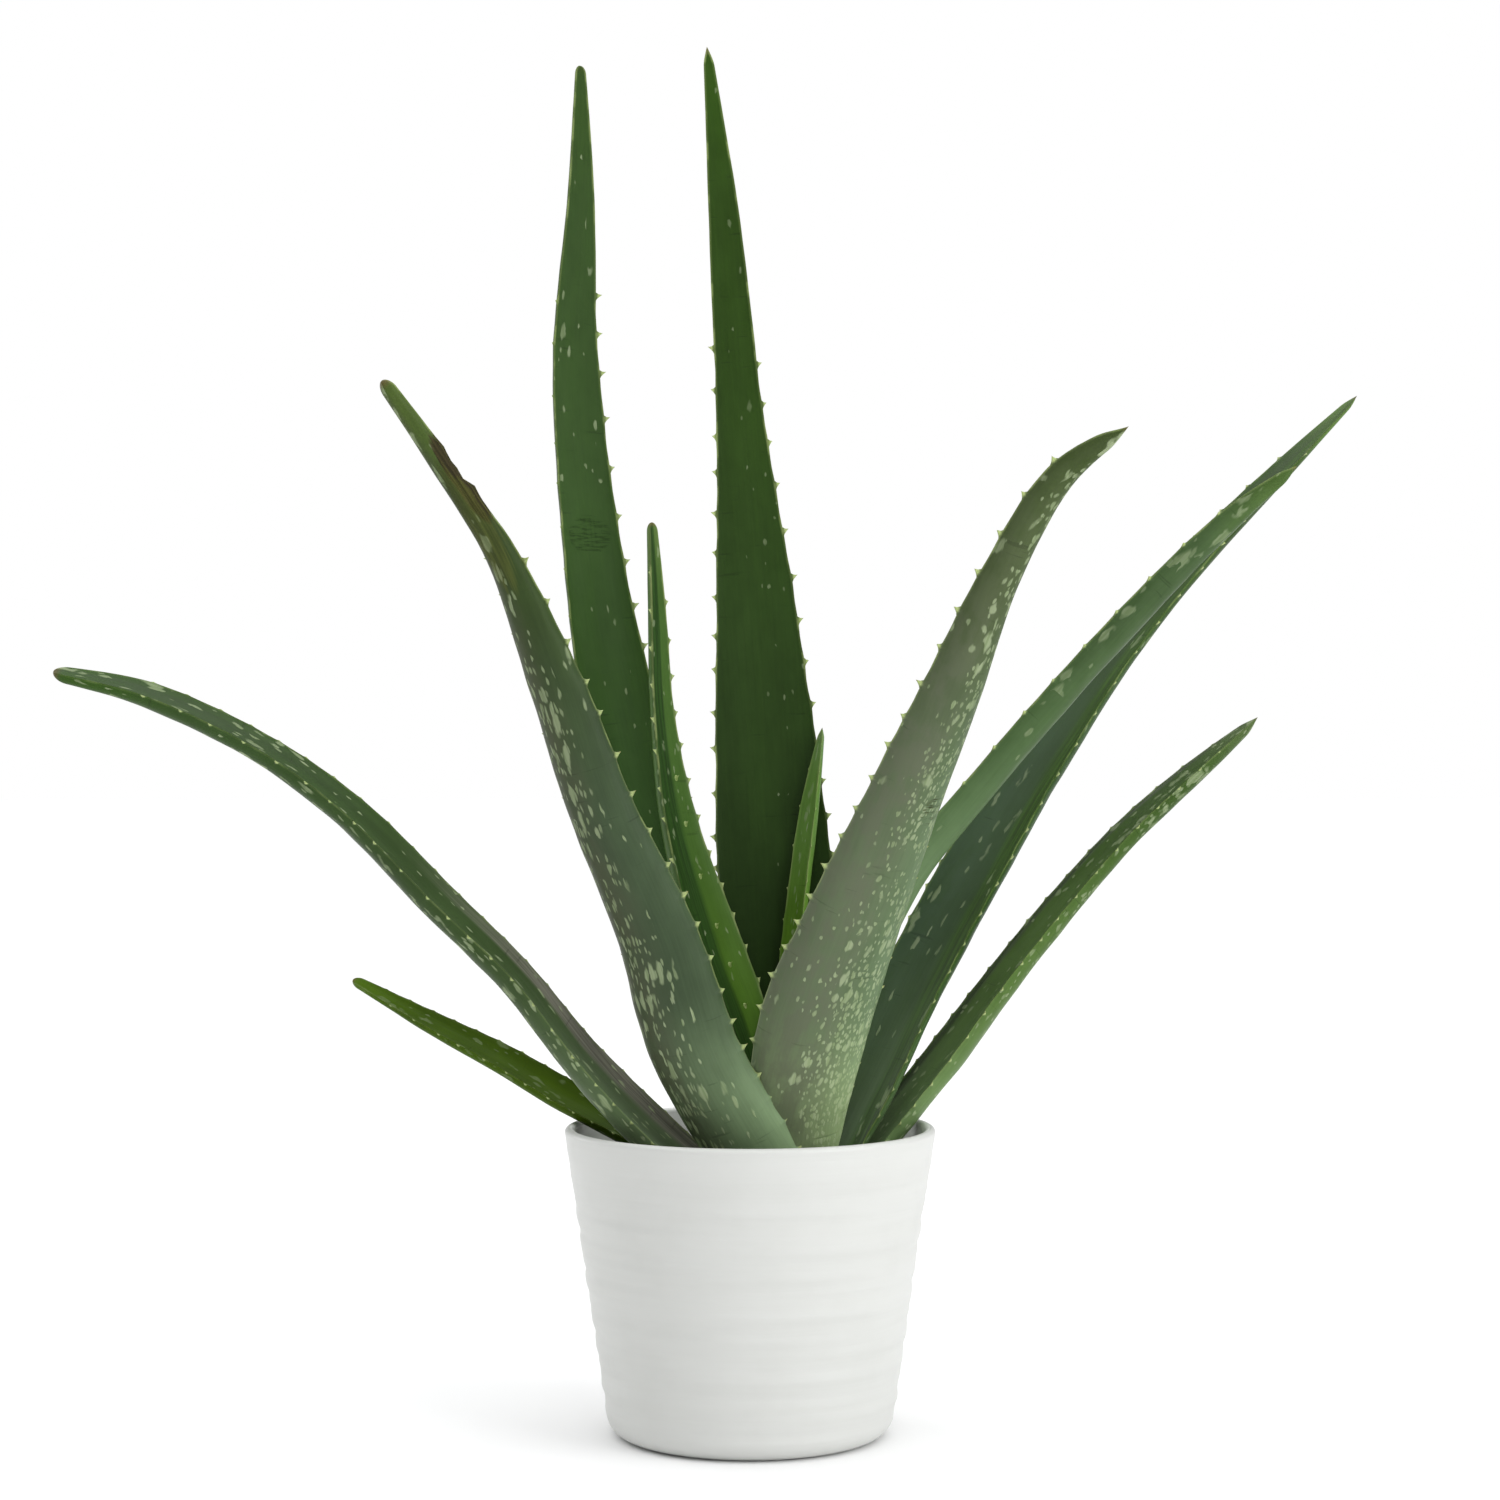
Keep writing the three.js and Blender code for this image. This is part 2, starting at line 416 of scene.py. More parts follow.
def clones(name: str, shapes: np.ndarray, material: bpy.types.Material) -> bpy.types.Object:
    """Puts many small closed shapes into one piece.

    Each shape is a grid closed at both ends: quads join its points along and round, and a flat face caps it.

    Args:
        name: the piece's name.
        shapes: points by shape, row and column, in metres.
        material: their finish.

    Returns:
        The new object, at the origin.
    """
    count, rows, columns, _ = shapes.shape
    ids, _, quads = ring_grid(rows, columns)
    starts = np.arange(count)[:, None, None] * rows * columns
    sides = (quads + starts).reshape(-1, 4)
    caps = (np.stack([ids[0][::-1], ids[-1]]) + starts).reshape(-1, columns)
    mesh = bpy.data.meshes.new(name)
    mesh.from_pydata(shapes.reshape(-1, 3).tolist(), [], sides.tolist() + caps.tolist())
    mesh.materials.append(material)
    return placed(name, mesh)


def even_angles(count: int) -> np.ndarray:
    """So many angles, evenly round a full turn from 0."""
    return np.linspace(0.0, FULL_TURN, count, endpoint=False)


def turned(radius: np.ndarray, height: np.ndarray, turn: np.ndarray) -> np.ndarray:
    """A profile turned about the upright axis: the radius times the cosine and the sine of each turn.

    Args:
        radius: each ring's radius, or one for each of its points.
        height: each ring's height.
        turn: the angles round the axis.

    Returns:
        The points by ring and angle.
    """
    x, y = radius * np.cos(turn), radius * np.sin(turn)
    return np.stack(np.broadcast_arrays(x, y, height), axis=2)


def smooth(x: np.ndarray, start: float, end: float) -> np.ndarray:
    """A smooth step: three times the square of the share of the way, less twice its cube.

    Args:
        x: where it is read.
        start: where it is 0.
        end: where it is 1. It may be the smaller of the two.

    Returns:
        The step, from 0 to 1.
    """
    t = np.clip((x - start) / (end - start), 0.0, 1.0)
    return t * t * (3.0 - 2.0 * t)


def waves(x: np.ndarray, seed: int, count: int = 5) -> np.ndarray:
    """Wandering values about 0: sines of rising frequency and falling size, with random phases.

    Args:
        x: where, in units of the longest wave.
        seed: which wander.
        count: how many sines.

    Returns:
        Values mostly between -1 and 1.
    """
    phases = np.random.default_rng(seed).uniform(0.0, FULL_TURN, count)
    steps = np.arange(1, count + 1)
    rates = FULL_TURN * steps**1.3
    return (np.sin(x[..., None] * rates + phases) / steps).sum(axis=-1) / 1.6


def along_rows(rows: np.ndarray, t: np.ndarray) -> np.ndarray:
    """The Catmull-Rom curve through rows of numbers: a cubic from each row to the next.

    Args:
        rows: the rows it goes through, evenly spaced.
        t: where it is read, from 0 at the first row to 1 at the last.

    Returns:
        A row of numbers for each t.
    """
    last = len(rows) - 1
    i = np.minimum((t * last).astype(int), last - 1)
    f = (t * last - i)[:, None]
    a, b, c, d = (rows[np.clip(i + k, 0, last)] for k in (-1, 0, 1, 2))
    slope = c - a
    bend = 2 * a - 5 * b + 4 * c - d
    twist = 3 * b - a - 3 * c + d
    return b + 0.5 * f * (slope + f * (bend + f * twist))


def unit(vectors: np.ndarray) -> np.ndarray:
    """Vectors of the same directions and length 1."""
    return vectors / np.linalg.norm(vectors, axis=-1, keepdims=True)


# ---------------------------------------------------------------- leaf skin


class Grain(Enum):
    """The noises in a leaf's skin.

    Each has its features to a metre up the leaf and to a metre round it, what is added to the leaf's seed,
    and the count and strength of its finer octaves.
    """

    MOTTLE = (18, 55, 0, 3.0, 0.55)
    VEINS = (30, 1100, 3, 2.0, 0.6)
    PATCHES = (85, 150, 17, 3.0, 0.6)
    PORES = (1500, 1500, 0, 1.0, 0.5)
    SCRATCHES = (520, 45, 11, 2.0, 0.6)
    WRINKLES = (1300, 140, 5, 2.0, 0.6)
    FLECK_DRIFTS = (45, 90, 7, 1.0, 0.5)
    FLECK_EDGES = (230, 380, 0, 1.0, 0.5)


class SkinPlace:
    """What a leaf's skin is worked out from, as values in its shader.

    along and around are metres up the leaf and round it from the middle of a side. up and across are shares
    of its length and width, and side is -1 on one margin and 1 on the other. rim is metres from the nearer
    margin, tooth is 1 at the point of a tooth, and under is 1 on the lower side. mottle, veins and patches
    are noises about 0.5.
    """

    def __init__(self, name: str, seed: float) -> None:
        """Starts the shader, and reads the leaf's maps "skin" and "place" and its three marks.

        Args:
            name: the leaf's name.
            seed: what sets its noises apart from other leaves'.
        """
        self.shader = Shader(f"{name}_skin")
        self.seed = seed
        self.along, self.around = self.shader.uv("skin")
        self.up, self.across = self.shader.uv("place")
        self.side = self.across * 2 - 1
        self.rim = self.shader.attribute("rim")
        self.tooth = self.shader.attribute("tooth")
        self.under = self.shader.attribute("under")
        self.mottle = self.noise(Grain.MOTTLE)
        self.veins = self.noise(Grain.VEINS)
        self.patches = self.noise(Grain.PATCHES)

    def noise(self, grain: Grain) -> Value:
        """One of the skin's noises.

        Args:
            grain: which.

        Returns:
            The noise, about 0.5.
        """
        lengthwise, crosswise, shift, detail, roughness = grain.value
        at = self.shader.vector(self.along * lengthwise, self.around * crosswise, self.seed + shift)
        return self.shader.noise(at, 1.0, detail, roughness)


class Face(Enum):
    """The side of a leaf that a scar is on, as its share on the lower and on the upper side."""

    LOWER = (1.0, 0.0)
    UPPER = (0.0, 1.0)
    BOTH = (1.0, 1.0)


@dataclass(frozen=True)
class Scar:
    """A dry patch on a leaf: how far up it is, how far across, and its half length and width, as shares.

    A wrinkled one is a patch of fine dark lines that run across the leaf.
    """

    up: float
    across: float
    length: float
    width: float
    colour: Colour = (0.052, 0.034, 0.018)
    strength: float = 0.9
    face: Face = Face.BOTH
    wrinkled: bool = False

    def mask(self, at: SkinPlace) -> Value:
        """An oval with a ragged edge: one less its squared distance in half lengths and half widths.

        Args:
            at: the leaf's skin.

        Returns:
            Its strength inside, 0 outside.
        """
        y = (at.up - self.up) / self.length
        x = (at.across - self.across) / self.width
        ragged = (at.mottle - 0.5) * 2.2 + (at.veins - 0.5) * 1.1
        oval = (1 - y * y - x * x + ragged).ramp(0.0, 0.45) * self.strength
        below, above = self.face.value
        return oval * (at.under * (below - above) + above)


@dataclass(frozen=True)
class LeafSkin:
    """The look of one leaf.

    Attributes:
        foot: the colour of its foot. On the outer leaves it is pale: partly the skin's own paler foot, and
            partly painted light that lifts the shade near the pot's rim.
        blade: the colour of the lower part of its blade.
        upper: the colour of the higher part of its blade.
        tip: the colour of its tip.
        bloom: how much grey wax lies over the colours.
        bloom_colour: the wax's colour.
        bloom_side: the margin the wax lies nearer to, -1 or 1, or 0 for neither.
        bloom_high: the share of the wax that is left at the tip.
        band: the colour of the upper side along one margin, if it differs.
        band_side: that margin, -1 or 1.
        band_width: the share of the width that the band covers.
        band_reach: the share of the length that it covers.
        channel_shade: the strength of the painted shade in the hollow beside the band.
        flecks_low: the pale flecks' share of the skin low on the leaf.
        flecks_high: their share high on it.
        fleck_side: the margin they crowd to, -1 or 1, or 0 for neither.
        fleck_middle: how far they keep to the middle.
        fleck_upper: their share on the upper side.
        fleck_fine: the share of the smaller flecks.
        fleck_big: the share of the largest flecks, which are high on the leaf.
        fleck_size: a fleck's width in metres.
        fleck_stretch: how many times longer than wide a fleck is.
        fleck_strength: how far a fleck covers the skin.
        rim: the strength of the pale line on the margins.
        gloss: the strength of the skin's reflections.
        foot_reach: the share of the length at which the foot's colour has given way to the blade's.
        upper_reach: the share at which the blade's has given way to the upper's.
        dry_tip: the strength of the brown at the very tip.
        scars: its dry patches.
        seed: what sets its pattern apart from other leaves'.
    """

    foot: Colour
    blade: Colour
    upper: Colour
    tip: Colour
    bloom: float = 0.15
    bloom_colour: Colour = (0.06, 0.08, 0.045)
    bloom_side: float = 0.0
    bloom_high: float = 1.0
    band: Colour | None = None
    band_side: float = 1.0
    band_width: float = 0.4
    band_reach: float = 1.0
    channel_shade: float = 0.8
    flecks_low: float = 0.25
    flecks_high: float = 0.15
    fleck_side: float = 0.0
    fleck_middle: float = 0.0
    fleck_upper: float = 1.0
    fleck_fine: float = 1.0
    fleck_big: float = 0.0
    fleck_size: float = 0.0036
    fleck_stretch: float = 2.4
    fleck_strength: float = 0.85
    rim: float = 1.0
    gloss: float = 0.11
    foot_reach: float = 0.3
    upper_reach: float = 0.8
    dry_tip: float = 0.7
    scars: tuple[Scar, ...] = ()
    seed: float = 0.0

    # Colours that all the leaves share.
    FLECK_DARK: ClassVar[Colour] = (0.24, 0.31, 0.155)
    FLECK_LIGHT: ClassVar[Colour] = (0.34, 0.405, 0.24)
    MARGIN_LINE: ClassVar[Colour] = (0.22, 0.28, 0.10)
    TOOTH: ClassVar[Colour] = (0.38, 0.46, 0.19)
    TOOTH_POINT: ClassVar[Colour] = (0.28, 0.20, 0.07)
    DRY: ClassVar[Colour] = (0.13, 0.085, 0.035)

    def material(self, name: str) -> bpy.types.Material:
        """Builds the skin.

        Args:
            name: the leaf's name.

        Returns:
            The finished material.
        """
        at = SkinPlace(name, self.seed)
        shader, mottle, veins = at.shader, at.mottle, at.veins

        wax = self._wax(at)
        colour = shader.mix(self._ground(at), self.bloom_colour, wax.clamped())
        if self.band is not None:
            colour = self._banded(at, colour, self.band)
        scratch = at.noise(Grain.SCRATCHES).ramp(0.66, 0.74)
        colour = shader.shade(colour, 1.0 - scratch * 0.22)

        spots = self._flecks(at)
        pale = shader.mix(self.FLECK_DARK, self.FLECK_LIGHT, veins.ramp(0.35, 0.65))
        pale = shader.shade(pale, 1.45 - at.up.ramp(0.1, 0.4) * 0.45)
        colour = shader.mix(colour, pale, spots * self.fleck_strength)
        colour = self._edged(at, colour)

        dry: Value | float = 0.0
        for scar in self.scars:
            mask = scar.mask(at)
            if scar.wrinkled:
                mask = mask * at.noise(Grain.WRINKLES).ramp(0.47, 0.58)
            bark = shader.mix(scar.colour, scaled(scar.colour, 1.9), veins.ramp(0.4, 0.62))
            colour = shader.mix(colour, bark, mask)
            dry = mask + dry

        pores = at.noise(Grain.PORES)
        roughness = 0.42 + (mottle - 0.5) * 0.16 + (pores - 0.5) * 0.1
        roughness = roughness + spots * 0.1 + wax * 0.1 + dry * 0.35
        height = veins * 0.00004 + mottle * 0.0003 + spots * 0.00008 - scratch * 0.00003
        height = height - dry * (0.0004 - veins * 0.0006)
        return shader.finish(
            colour,
            roughness.clamped(),
            height,
            Specular_IOR_Level=self.gloss,
            Subsurface_Weight=0.05,
            Subsurface_Radius=(0.6, 1.0, 0.25),
            Subsurface_Scale=0.003,
        )

    def _ground(self, at: SkinPlace) -> Value:
        """The skin's colour, mottled and veined, with painted light in the foot's colour on the outer leaves.

        The four colours follow one another up the leaf, each over a smooth step whose place wanders with
        the mottle.

        Args:
            at: the leaf's skin.

        Returns:
            The colour.
        """
        shader = at.shader
        drift = at.up + (at.mottle - 0.5) * 0.12
        # The foot's colour on the outer leaves is partly painted light, which lifts the shade near the pot's
        # rim.
        colour = shader.mix(self.foot, self.blade, drift.ramp(0.07, self.foot_reach))
        colour = shader.mix(colour, self.upper, drift.ramp(self.upper_reach - 0.35, self.upper_reach))
        colour = shader.mix(colour, self.tip, drift.ramp(0.86, 1.0))
        uneven = (at.veins - 0.5) * 0.3 + (at.mottle - 0.5) * 0.7 + (at.patches - 0.5) * 0.35
        return shader.shade(colour, 1.0 + uneven)

    def _wax(self, at: SkinPlace) -> Value:
        """How much of the grey bloom there is: patchy, towards its own margin, and less at the tip.

        Args:
            at: the leaf's skin.

        Returns:
            The amount, mostly from 0 to 1.
        """
        lean: Value | float = 1.0
        if self.bloom_side:
            lean = (at.side * self.bloom_side + (at.mottle - 0.5) * 0.8).ramp(-0.65, 0.5)
        fade = 1 - at.up.ramp(0.55, 0.9) * (1 - self.bloom_high)
        return (at.patches.ramp(0.36, 0.6) * 0.45 + 0.55) * lean * fade * self.bloom

    def _banded(self, at: SkinPlace, colour: Value, band: Colour) -> Value:
        """Lays the upper side's band along one margin, with painted shade in the hollow at its inner edge.

        Args:
            at: the leaf's skin.
            colour: the colour under it.
            band: the band's colour.

        Returns:
            The colour with the band.
        """
        shader = at.shader
        # 0 at the band's margin and 2 at the other, a little uneven.
        inward = 1 - at.side * self.band_side + (at.mottle - 0.5) * 0.3
        start = 2 * self.band_width
        reach: Value | float = 1.0
        if self.band_reach < 1.0:
            reach = 1 - at.up.ramp(self.band_reach * 0.5, self.band_reach)
        covered = inward.ramp(start, start - 0.3) * (1 - at.under) * reach
        # Painted shade: the colour is darkened in the hollow beside the band, where the channel lies in shade.
        channel_shade = inward.ramp(start - 0.25, start) * inward.ramp(start + 0.9, start + 0.1) * (1 - at.under)
        colour = shader.mix(colour, shader.shade(colour, 0.45), channel_shade * self.channel_shade)
        streaked = shader.mix(scaled(band, 0.6), scaled(band, 1.25), at.veins.ramp(0.3, 0.7))
        return shader.mix(colour, streaked, covered * 0.9)

    def _flecks(self, at: SkinPlace) -> Value:
        """Pale spots, longer than wide, in a few sizes.

        Each size is a pattern of cells. A cell whose random number is below the flecks' share there has a
        spot, which fades with the distance from the cell's point.

        Args:
            at: the leaf's skin.

        Returns:
            1 in a spot and 0 outside, with soft edges.
        """
        share = self._fleck_share(at)
        wobble = (at.noise(Grain.FLECK_EDGES) - 0.5) * 0.8
        high = at.up.ramp(0.5, 0.85)
        fine = self.fleck_fine
        # Each size, as a share of fleck_size, and the chance of a fleck of it.
        sizes = [(1.0, 0.34 + high * 0.6), (0.62, 0.8 * fine), (0.4, (0.75 - high * 0.5) * fine)]
        if self.fleck_big:
            sizes.append((1.55, high * self.fleck_big))
        total: Value | None = None
        for size, chance in sizes:
            width = self.fleck_size * size
            x = at.along / (width * self.fleck_stretch) + (self.seed + size)
            place = at.shader.vector(x + wobble, at.around / width + wobble)
            distance, lot, bulk = at.shader.cells(place, flat=True)
            spot = ((0.25 + bulk * 0.16 - distance) / 0.15).clamped()
            spot = spot * (lot < share * chance) * (0.55 + bulk * 0.45)
            total = spot if total is None else total.larger(spot)
        return total

    def _fleck_share(self, at: SkinPlace) -> Value:
        """The share of the fleck pattern's cells that have a fleck.

        Args:
            at: the leaf's skin.

        Returns:
            The share at each point, from 0 to about 1.
        """
        share = self.flecks_low + at.up.ramp(0.1, 0.8) * (self.flecks_high - self.flecks_low)
        shown = at.under.larger(at.up.ramp(0.6, 0.8)) * (1 - self.fleck_upper) + self.fleck_upper
        share = share * (at.noise(Grain.FLECK_DRIFTS).ramp(0.33, 0.6) * 0.6 + 0.42) * shown
        if self.fleck_side:
            share = share * ((at.side * self.fleck_side).ramp(-0.7, 0.1) + 0.06)
        if self.fleck_middle:
            share = share * (1 - abs(at.side) * self.fleck_middle).clamped()
        return share

    def _edged(self, at: SkinPlace, colour: Value) -> Value:
        """Adds the dashed pale line on the margins, the pale teeth with brown points, and the dry tip.

        Args:
            at: the leaf's skin.
            colour: the colour under them.

        Returns:
            The colour with them.
        """
        shader = at.shader
        dash = shader.noise(shader.vector(at.along * 95, self.seed), 1.0, 1.0).ramp(0.48, 0.6)
        line = at.rim.ramp(0.001, 0.0002) * (0.3 + dash * 0.55) * self.rim
        colour = shader.mix(colour, self.MARGIN_LINE, line.clamped())
        colour = shader.mix(colour, self.TOOTH, at.tooth.ramp(0.08, 0.45))
        colour = shader.mix(colour, self.TOOTH_POINT, at.tooth.ramp(0.8, 1.0) * 0.55)
        return shader.mix(colour, self.DRY, at.up.ramp(0.99, 1.0) * self.dry_tip)


@dataclass(frozen=True)
class PrickleSkin:
    """The prickles' skin: paler than the leaf, and mottled."""

    dark: Colour = (0.20, 0.30, 0.07)
    light: Colour = (0.34, 0.44, 0.16)

    def material(self, name: str) -> bpy.types.Material:
        """Builds the skin.

        Args:
            name: the leaf's name.

        Returns:
            The finished material.
        """
        shader = Shader(f"{name}_prickle_finish")
        mottle = shader.noise(shader.place(), 700.0, 1.0)
        colour = shader.mix(self.dark, self.light, mottle.ramp(0.35, 0.65))
        return shader.finish(colour, 0.45, Specular_IOR_Level=0.2)


# ---------------------------------------------------------------- leaves


@dataclass(frozen=True)
class Teeth:
    """The soft spines on a leaf's margins, in millimetres.

    Attributes:
        height: the height of the largest.
        first: the share of the height on the margin that the section starts from.
        second: the share of the height on the other margin.
        half_length: half the length of a tooth's foot.
        near_foot: the spacing at the leaf's foot.
        near_tip: the spacing at its tip.
        start: the share of the leaf's length below which there are none.
        stop: the share above which there are none.
        full_width: the leaf's width at and above which teeth have their full height.
        lean: how far a point leans towards the tip, as a share of the height.
        bay: the depth of the shallow bay between two teeth.
        grip: how far round the section a tooth is drawn out of, in radians.
        bay_grip: how far round the section a bay reaches, in radians.
    """

    height: float = 1.9
    first: float = 1.0
    second: float = 1.0
    half_length: float = 1.6
    near_foot: float = 10.5
    near_tip: float = 18.0
    start: float = 0.05
    stop: float = 0.93
    full_width: float = 11.0
    lean: float = 0.45
    bay: float = 0.22
    grip: float = 0.075
    bay_grip: float = 0.4

    # The least and the largest share of an even spacing, and of a full height.
    SPACINGS: ClassVar[tuple[float, float]] = (0.82, 1.18)
    HEIGHTS: ClassVar[tuple[float, float]] = (0.75, 1.15)

    def places(self, length: float, seed: int) -> list[np.ndarray]:
        """How far up each tooth is on the first and on the second margin, unevenly spaced.

        A place is the running sum of the spacings, which widen evenly from foot to tip. The second margin's
        teeth start half a spacing lower.

        Args:
            length: the leaf's length in metres.
            seed: which unevenness.

        Returns:
            The places on either margin, in metres.
        """
        random = np.random.default_rng(seed)
        margins = []
        for offset in (0.0, 0.5):
            count = int(length / MM / self.near_foot) + 1
            share = np.linspace(0.0, 1.0, count)
            gap = (self.near_foot + (self.near_tip - self.near_foot) * share) * MM
            gap *= random.uniform(*self.SPACINGS, count)
            place = self.start * length + np.cumsum(gap) - gap * offset
            margins.append(place[place < self.stop * length])
        return margins


@dataclass(frozen=True)
class Line:
    """A leaf's middle line, read at a row of places.

    Attributes:
        rows: the places, in metres up the leaf. The last is the tip.
        centre: the line's points.
        along: the way up the leaf at each.
        upper: the way its upper side looks at each.
        width: the leaf's width at each, in metres.
    """

    rows: np.ndarray
    centre: np.ndarray
    along: np.ndarray
    upper: np.ndarray
    width: np.ndarray

    @property
    def length(self) -> float:
        """The leaf's length in metres."""
        return self.rows[-1]

    @property
    def across(self) -> np.ndarray:
        """The way to the first margin, at right angles to the other two."""
        return np.cross(self.upper, self.along)

    def at(self, rows: np.ndarray) -> Line:
        """The same line read at other places, which it joins straight between its own."""
        centre, along, upper = (self._read(rows, each) for each in (self.centre, self.along, self.upper))
        return Line(rows, centre, along, upper, np.interp(rows, self.rows, self.width))

    def _read(self, rows: np.ndarray, vectors: np.ndarray) -> np.ndarray:
        """Vectors along the line, read part by part at other places."""
        return np.stack([np.interp(rows, self.rows, part) for part in vectors.T], axis=1)


@dataclass
class Leaf:
    """One leaf, lofted from its foot to its tip, in millimetres.

    Attributes:
        name: its node in the frame.
        depth: its thickness where it is widest.
        channel: the hollow of its upper side there.
        face_foot: the way its upper side looks at the foot.
        face_tip: the way it looks at the tip.
        stations: x, y, z and the width at even steps from foot to tip.
        skin: its look.
        teeth: the spines on its margins.
        prickles: small spines on the upper side, each at a share of the length and a share of the width.
        blunt: whether it ends round and not in a point.
        shrivel: the share of the length at which the first margin has dried and crumpled, or 0.
        seed: what sets its unevenness apart from other leaves'.
    """

    name: str
    depth: float
    channel: float
    face_foot: Point
    face_tip: Point
    stations: list[tuple[float, float, float, float]]
    skin: LeafSkin
    teeth: Teeth = field(default_factory=Teeth)
    prickles: tuple[tuple[float, float], ...] = ()
    blunt: bool = False
    shrivel: float = 0.0
    seed: int = 1

    # Angles from a margin to the middle of a side, closer together where the margin turns.
    FAN: ClassVar[tuple[float, ...]] = (0.0, 0.035, 0.09, 0.18, 0.32, 0.52, 0.78, 1.06, 1.32)
    # Rings at each tooth, in half lengths of the tooth from its point.
    TOOTH_RINGS: ClassVar[tuple[float, ...]] = (-1.0, -0.6, -0.28, 0.0, 0.16, 0.42, 1.0)
    # How finely the middle line is worked out, how far apart rings are, and the least that they may be.
    FINE_STEPS: ClassVar[int] = 1600
    RING_STEP: ClassVar[float] = 4.0
    LEAST_STEP: ClassVar[float] = 0.08
    # The longest wave of a leaf's unevenness, in metres.
    LONG_WAVE: ClassVar[float] = 0.12
    # A prickle: its height, the rises of its rings as shares of that, and their radii.
    PRICKLE_HEIGHT: ClassVar[float] = 1.5
    PRICKLE_RISES: ClassVar[tuple[float, ...]] = (-0.5, 0.0, 0.3, 0.65, 1.0)
    PRICKLE_RADII: ClassVar[tuple[float, ...]] = (1.0, 0.85, 0.42, 0.16, 0.03)

    def build(self) -> list[bpy.types.Object]:
        """Makes the leaf and its prickles, seats them on the leaf's solid in the frame, and dresses them.

        Returns:
            The leaf's pieces.
        """
        turn = self._columns()
        line = self._line()
        places = self.teeth.places(line.length, self.seed)
        line = line.at(self._rows(line, places))
        body = self._body(line, turn)
        body = body + self._seat(body)
        points, tooth = self._toothed(body, line, turn, places)
        under = smooth(-np.sin(turn), -0.05, 0.25) * np.ones((len(line.rows), 1))
        marks = {"rim": self._margin(body), "tooth": tooth, "under": under}
        blade = Sheet(points, self._maps(body, line, turn), marks)
        made = blade.object(f"{self.name}_blade", self.skin.material(self.name))
        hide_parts(self.name)
        pieces = [made]
        if self.prickles:
            pieces.append(self._prickles(body, line, turn))
        for piece in pieces:
            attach(piece, BODY)
        return pieces

    @property
    def _closing(self) -> float:
        """How far below the tip the leaf starts to close, in widths of the tip."""
        return 0.8 if self.blunt else 2.4

    def _columns(self) -> np.ndarray:
        """Angles round the section, closest together at the margins.

        Returns:
            The angles. 0 and pi are the margins and half pi is the middle of the upper side.
        """
        fan = np.array(self.FAN)
        quarter = np.concatenate([fan, [math.pi / 2], math.pi - fan[:0:-1]])
        return np.concatenate([quarter, quarter + math.pi])

    def _line(self) -> Line:
        """The middle line, worked out finely.

        The stations are joined by a Catmull-Rom curve. The upper side's direction turns evenly from the one
        at the foot to the one at the tip, less its part along the leaf.

        Returns:
            The line.
        """
        t = np.linspace(0.0, 1.0, self.FINE_STEPS)
        path = along_rows(np.array(self.stations), t) * MM
        centre, width = path[:, :3], path[:, 3]
        steps = np.linalg.norm(np.diff(centre, axis=0), axis=1)
        rows = np.concatenate([[0.0], np.cumsum(steps)])
        along = unit(np.gradient(centre, rows, axis=0))
        turned = t[:, None] * (np.array(self.face_tip) - np.array(self.face_foot))
        face = np.array(self.face_foot) + turned
        upper = unit(face - (face * along).sum(axis=1, keepdims=True) * along)
        return Line(rows, centre, along, upper, width)

    def _rows(self, line: Line, places: list[np.ndarray]) -> np.ndarray:
        """Where the rings are: every few millimetres, and closer at each tooth and at the tip.

        Args:
            line: the middle line.
            places: the teeth's places on either margin.

        Returns:
            Metres up the leaf, rising, with the leaf's length as the last.
        """
        length = line.length
        even = np.linspace(0.0, length, int(length / (self.RING_STEP * MM)) + 1)
        near = np.array(self.TOOTH_RINGS) * self.teeth.half_length * MM
        teeth = (np.concatenate(places)[:, None] + near).ravel()
        tip = length - line.width[-1] * self._closing * (1.0 - np.linspace(0.0, 1.0, 12)) ** 1.6
        rows = np.unique(np.concatenate([even, teeth, tip]).clip(0.0, length))
        rows = rows[np.concatenate([[True], np.diff(rows) > self.LEAST_STEP * MM])]
        rows[-1] = length
        return rows

    def _body(self, line: Line, turn: np.ndarray) -> np.ndarray:
        """The blade without teeth.

        Across is half the width times the cosine of the angle. Out of the upper side is a quarter of the
        depth, less a power of the sine times the depth on the lower side and times the hollow on the upper.
        Both shrink as the blade narrows, and the last few millimetres close to a point or a round end. Slow
        waves make it a little uneven.

        Args:
            line: the middle line at each ring.
            turn: the angles round the section.

        Returns:
            The points by ring and angle.
        """
        size = (line.width / line.width.max())[:, None]
        reach = line.width[-1] * self._closing
        left = np.clip((line.rows - (line.length - reach)) / reach, 0.0, 1.0)
        close = (np.sqrt(1.0 - left**2) if self.blunt else 1.0 - left**1.7)[:, None]
        sine, cosine = np.sin(turn)[None, :], np.cos(turn)[None, :]
        slow = line.rows[:, None] / self.LONG_WAVE
        uneven = 1.0 + 0.035 * waves(slow + 0.15 * sine, self.seed + 40)
        flute = 0.25 * MM * size * waves(slow * 0.7 + cosine * 0.9, self.seed + 50, 4)
        wander = 1.0 + 0.02 * waves(slow + 3.0 * np.sign(cosine), self.seed + 60)
        x = cosine * (line.width[:, None] / 2) * close * wander
        depth = self.depth * MM * size**0.7
        below = np.abs(sine) ** 0.92 * depth * uneven
        above = -(np.abs(sine) ** 1.15) * self.channel * MM * size**2
        y = (depth / 4) * close + np.where(sine > 0, above, -below) * close
        y = y + flute * np.abs(sine) * close
        if self.shrivel:
            x, y = self._shrivelled(line, sine, cosine, x, y)
        sideways = x[..., None] * line.across[:, None, :]
        return line.centre[:, None, :] + sideways + y[..., None] * line.upper[:, None, :]

